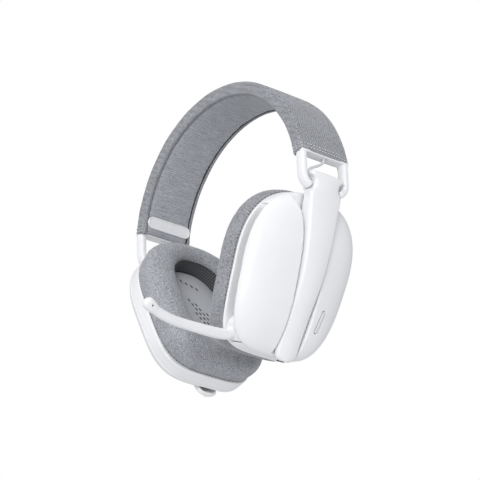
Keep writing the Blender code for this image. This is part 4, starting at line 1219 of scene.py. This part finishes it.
def seamed(shape):
    """Subdivide once more, and press a sewn seam into the cushion's face."""
    result = modified(shape, ("SUBSURF", {"levels": 1}))
    seam = [Vector(cup_point(angle, SEAM_INSET)) for angle in CUP_ANGLES]
    for vertex in result.vertices:
        point = vertex.co
        if point.x > -13 * MM:
            continue
        flat = Vector((point.y, point.z))
        distance = min((flat - place).length for place in seam[:: 2])
        groove = 1 - smoothstep(0.0, 1.5 * MM, distance)
        pucker = 0.12 * MM * noise.noise(point * 260)
        point.x += 0.55 * MM * groove + pucker
    result.update()
    return result


def make_cushion_stitches():
    """Stitches round the ear hole and along the clip ring, in near-black thread: real stitches whose dark colour
    is painted shade of the stitch dimples.
    """
    rings = (ear_ring(-12.3 * MM, 0.15 * MM), cup_ring(-0.9 * MM, -0.1 * MM),
             cup_ring(-17.6 * MM, SEAM_INSET))
    hole, rim, face = [[Vector(point) for point in ring + ring[:1]] for ring in rings]
    # The near-black thread here is painted shade of the stitch dimples
    dark = joined(stitches(hole, 1.9 * MM, 0.9 * MM, 0.24 * MM),
                  stitches(rim, 1.3 * MM, 1.0 * MM, 0.22 * MM))
    cup_pieces("cushion_stitches", dark, "dark_thread_painted_shade")
    cup_pieces("cushion_seam", stitches(face, 1.4 * MM, 0.7 * MM, 0.12 * MM), "light_thread")


# ---- left cup's controls

def make_boom():
    """Microphone boom, swung forward, with its root disc shaped like the cover's corner."""
    centre = Vector((0, BOOM_PIVOT.y, BOOM_PIVOT.z))
    route = [centre.copy()]
    low = -31 * MM
    steps = 40
    for i in range(steps + 1):
        height = low + (BOOM_TIP_HEIGHT - low) * i / steps
        route.append(Vector((0, front_edge(height) + BOOM_INSET, height)))
    turn = Matrix.Rotation(BOOM_FOLD, 4, "X")
    path = [turn @ (point - centre) + BOOM_PIVOT for point in route]

    def taper(t):
        knob = smoothstep(0.84, 0.93, t)
        end = math.sqrt(max(1 - smoothstep(0.955, 1.0, t) ** 2, 0.03))
        width = (1.0 - 0.12 * smoothstep(0.1, 0.7, t)) * (1 - knob) + 1.12 * knob
        depth = (1.0 - 0.08 * smoothstep(0.1, 0.7, t)) * (1 - knob) + 1.12 * knob
        return depth * end, width * end

    stem = bar(path, 2.5 * MM, 3.3 * MM, 2.7, 32, taper)
    foot = LIP_HEIGHT + 0.35 * MM
    root = boom_disc(foot, 7.75 * MM, BOOM_ROOT_RADIUS, 72)
    limit = loft([cup_ring(0.0, foot=1.0), cup_ring(0.5 * SHELL_HEIGHT, foot=0.55),
                  cup_ring(SHELL_HEIGHT), cup_ring(9 * MM)])
    corner = cut(root, limit, operation="INTERSECT")
    tip = path[-4]
    shape = moulded(joined(stem, corner), (), 0.42 * MM, 7)
    mouth = rod(tip + Vector((1.6 * MM, 0, 0)), tip + Vector((6 * MM, 0, 0)), 0.7 * MM, 20)
    shape = cut(shape, mouth)
    piece("boom_moulding", placed(shape, CUPS["left"]), "white_plastic", "boom", ["boom_arm"])
    port = rod(tip + Vector((1.4 * MM, 0, 0)), tip + Vector((2.2 * MM, 0, 0)), 0.75 * MM, 20)
    piece("mic_gauze", placed(port, CUPS["left"]), "black_gauze", "boom", sharp=30)


def make_rocker():
    """Slim volume rocker that follows the cover's surface."""
    outline = pill_at(*ROCKER_PLACE, 13.9 * MM, 2.2 * MM)
    centre = Vector(ROCKER_PLACE[:2])
    rings = [[(dome_height(y, z) - 4 * MM, y, z) for y, z in outline]]
    for lift, scale in ((0.0, 1.0), (0.3, 0.94), (0.42, 0.75), (0.46, 0.3)):
        ring = []
        for y, z in outline:
            moved = centre + (Vector((y, z)) - centre) * scale
            ring.append((dome_height(moved.x, moved.y) + (lift - 0.25) * MM, moved.x, moved.y))
        rings.append(ring)
    piece("rocker_cap", placed(loft(rings), CUPS["left"]), "button_plastic", "volume_rocker",
          ["volume_rocker"], sharp=45)


# ---- build

MATERIALS = make_materials()
make_camera()
make_light()
make_floor()
dress_cad_nodes()
make_sleeve()
make_band_seams()
make_inner_panel()
make_marker_plates()
make_forks()
make_link_wires()
make_arms()
make_covers()
make_shells()
make_baffles()
make_linings()
make_cushions()
make_cushion_stitches()
make_boom()
make_rocker()
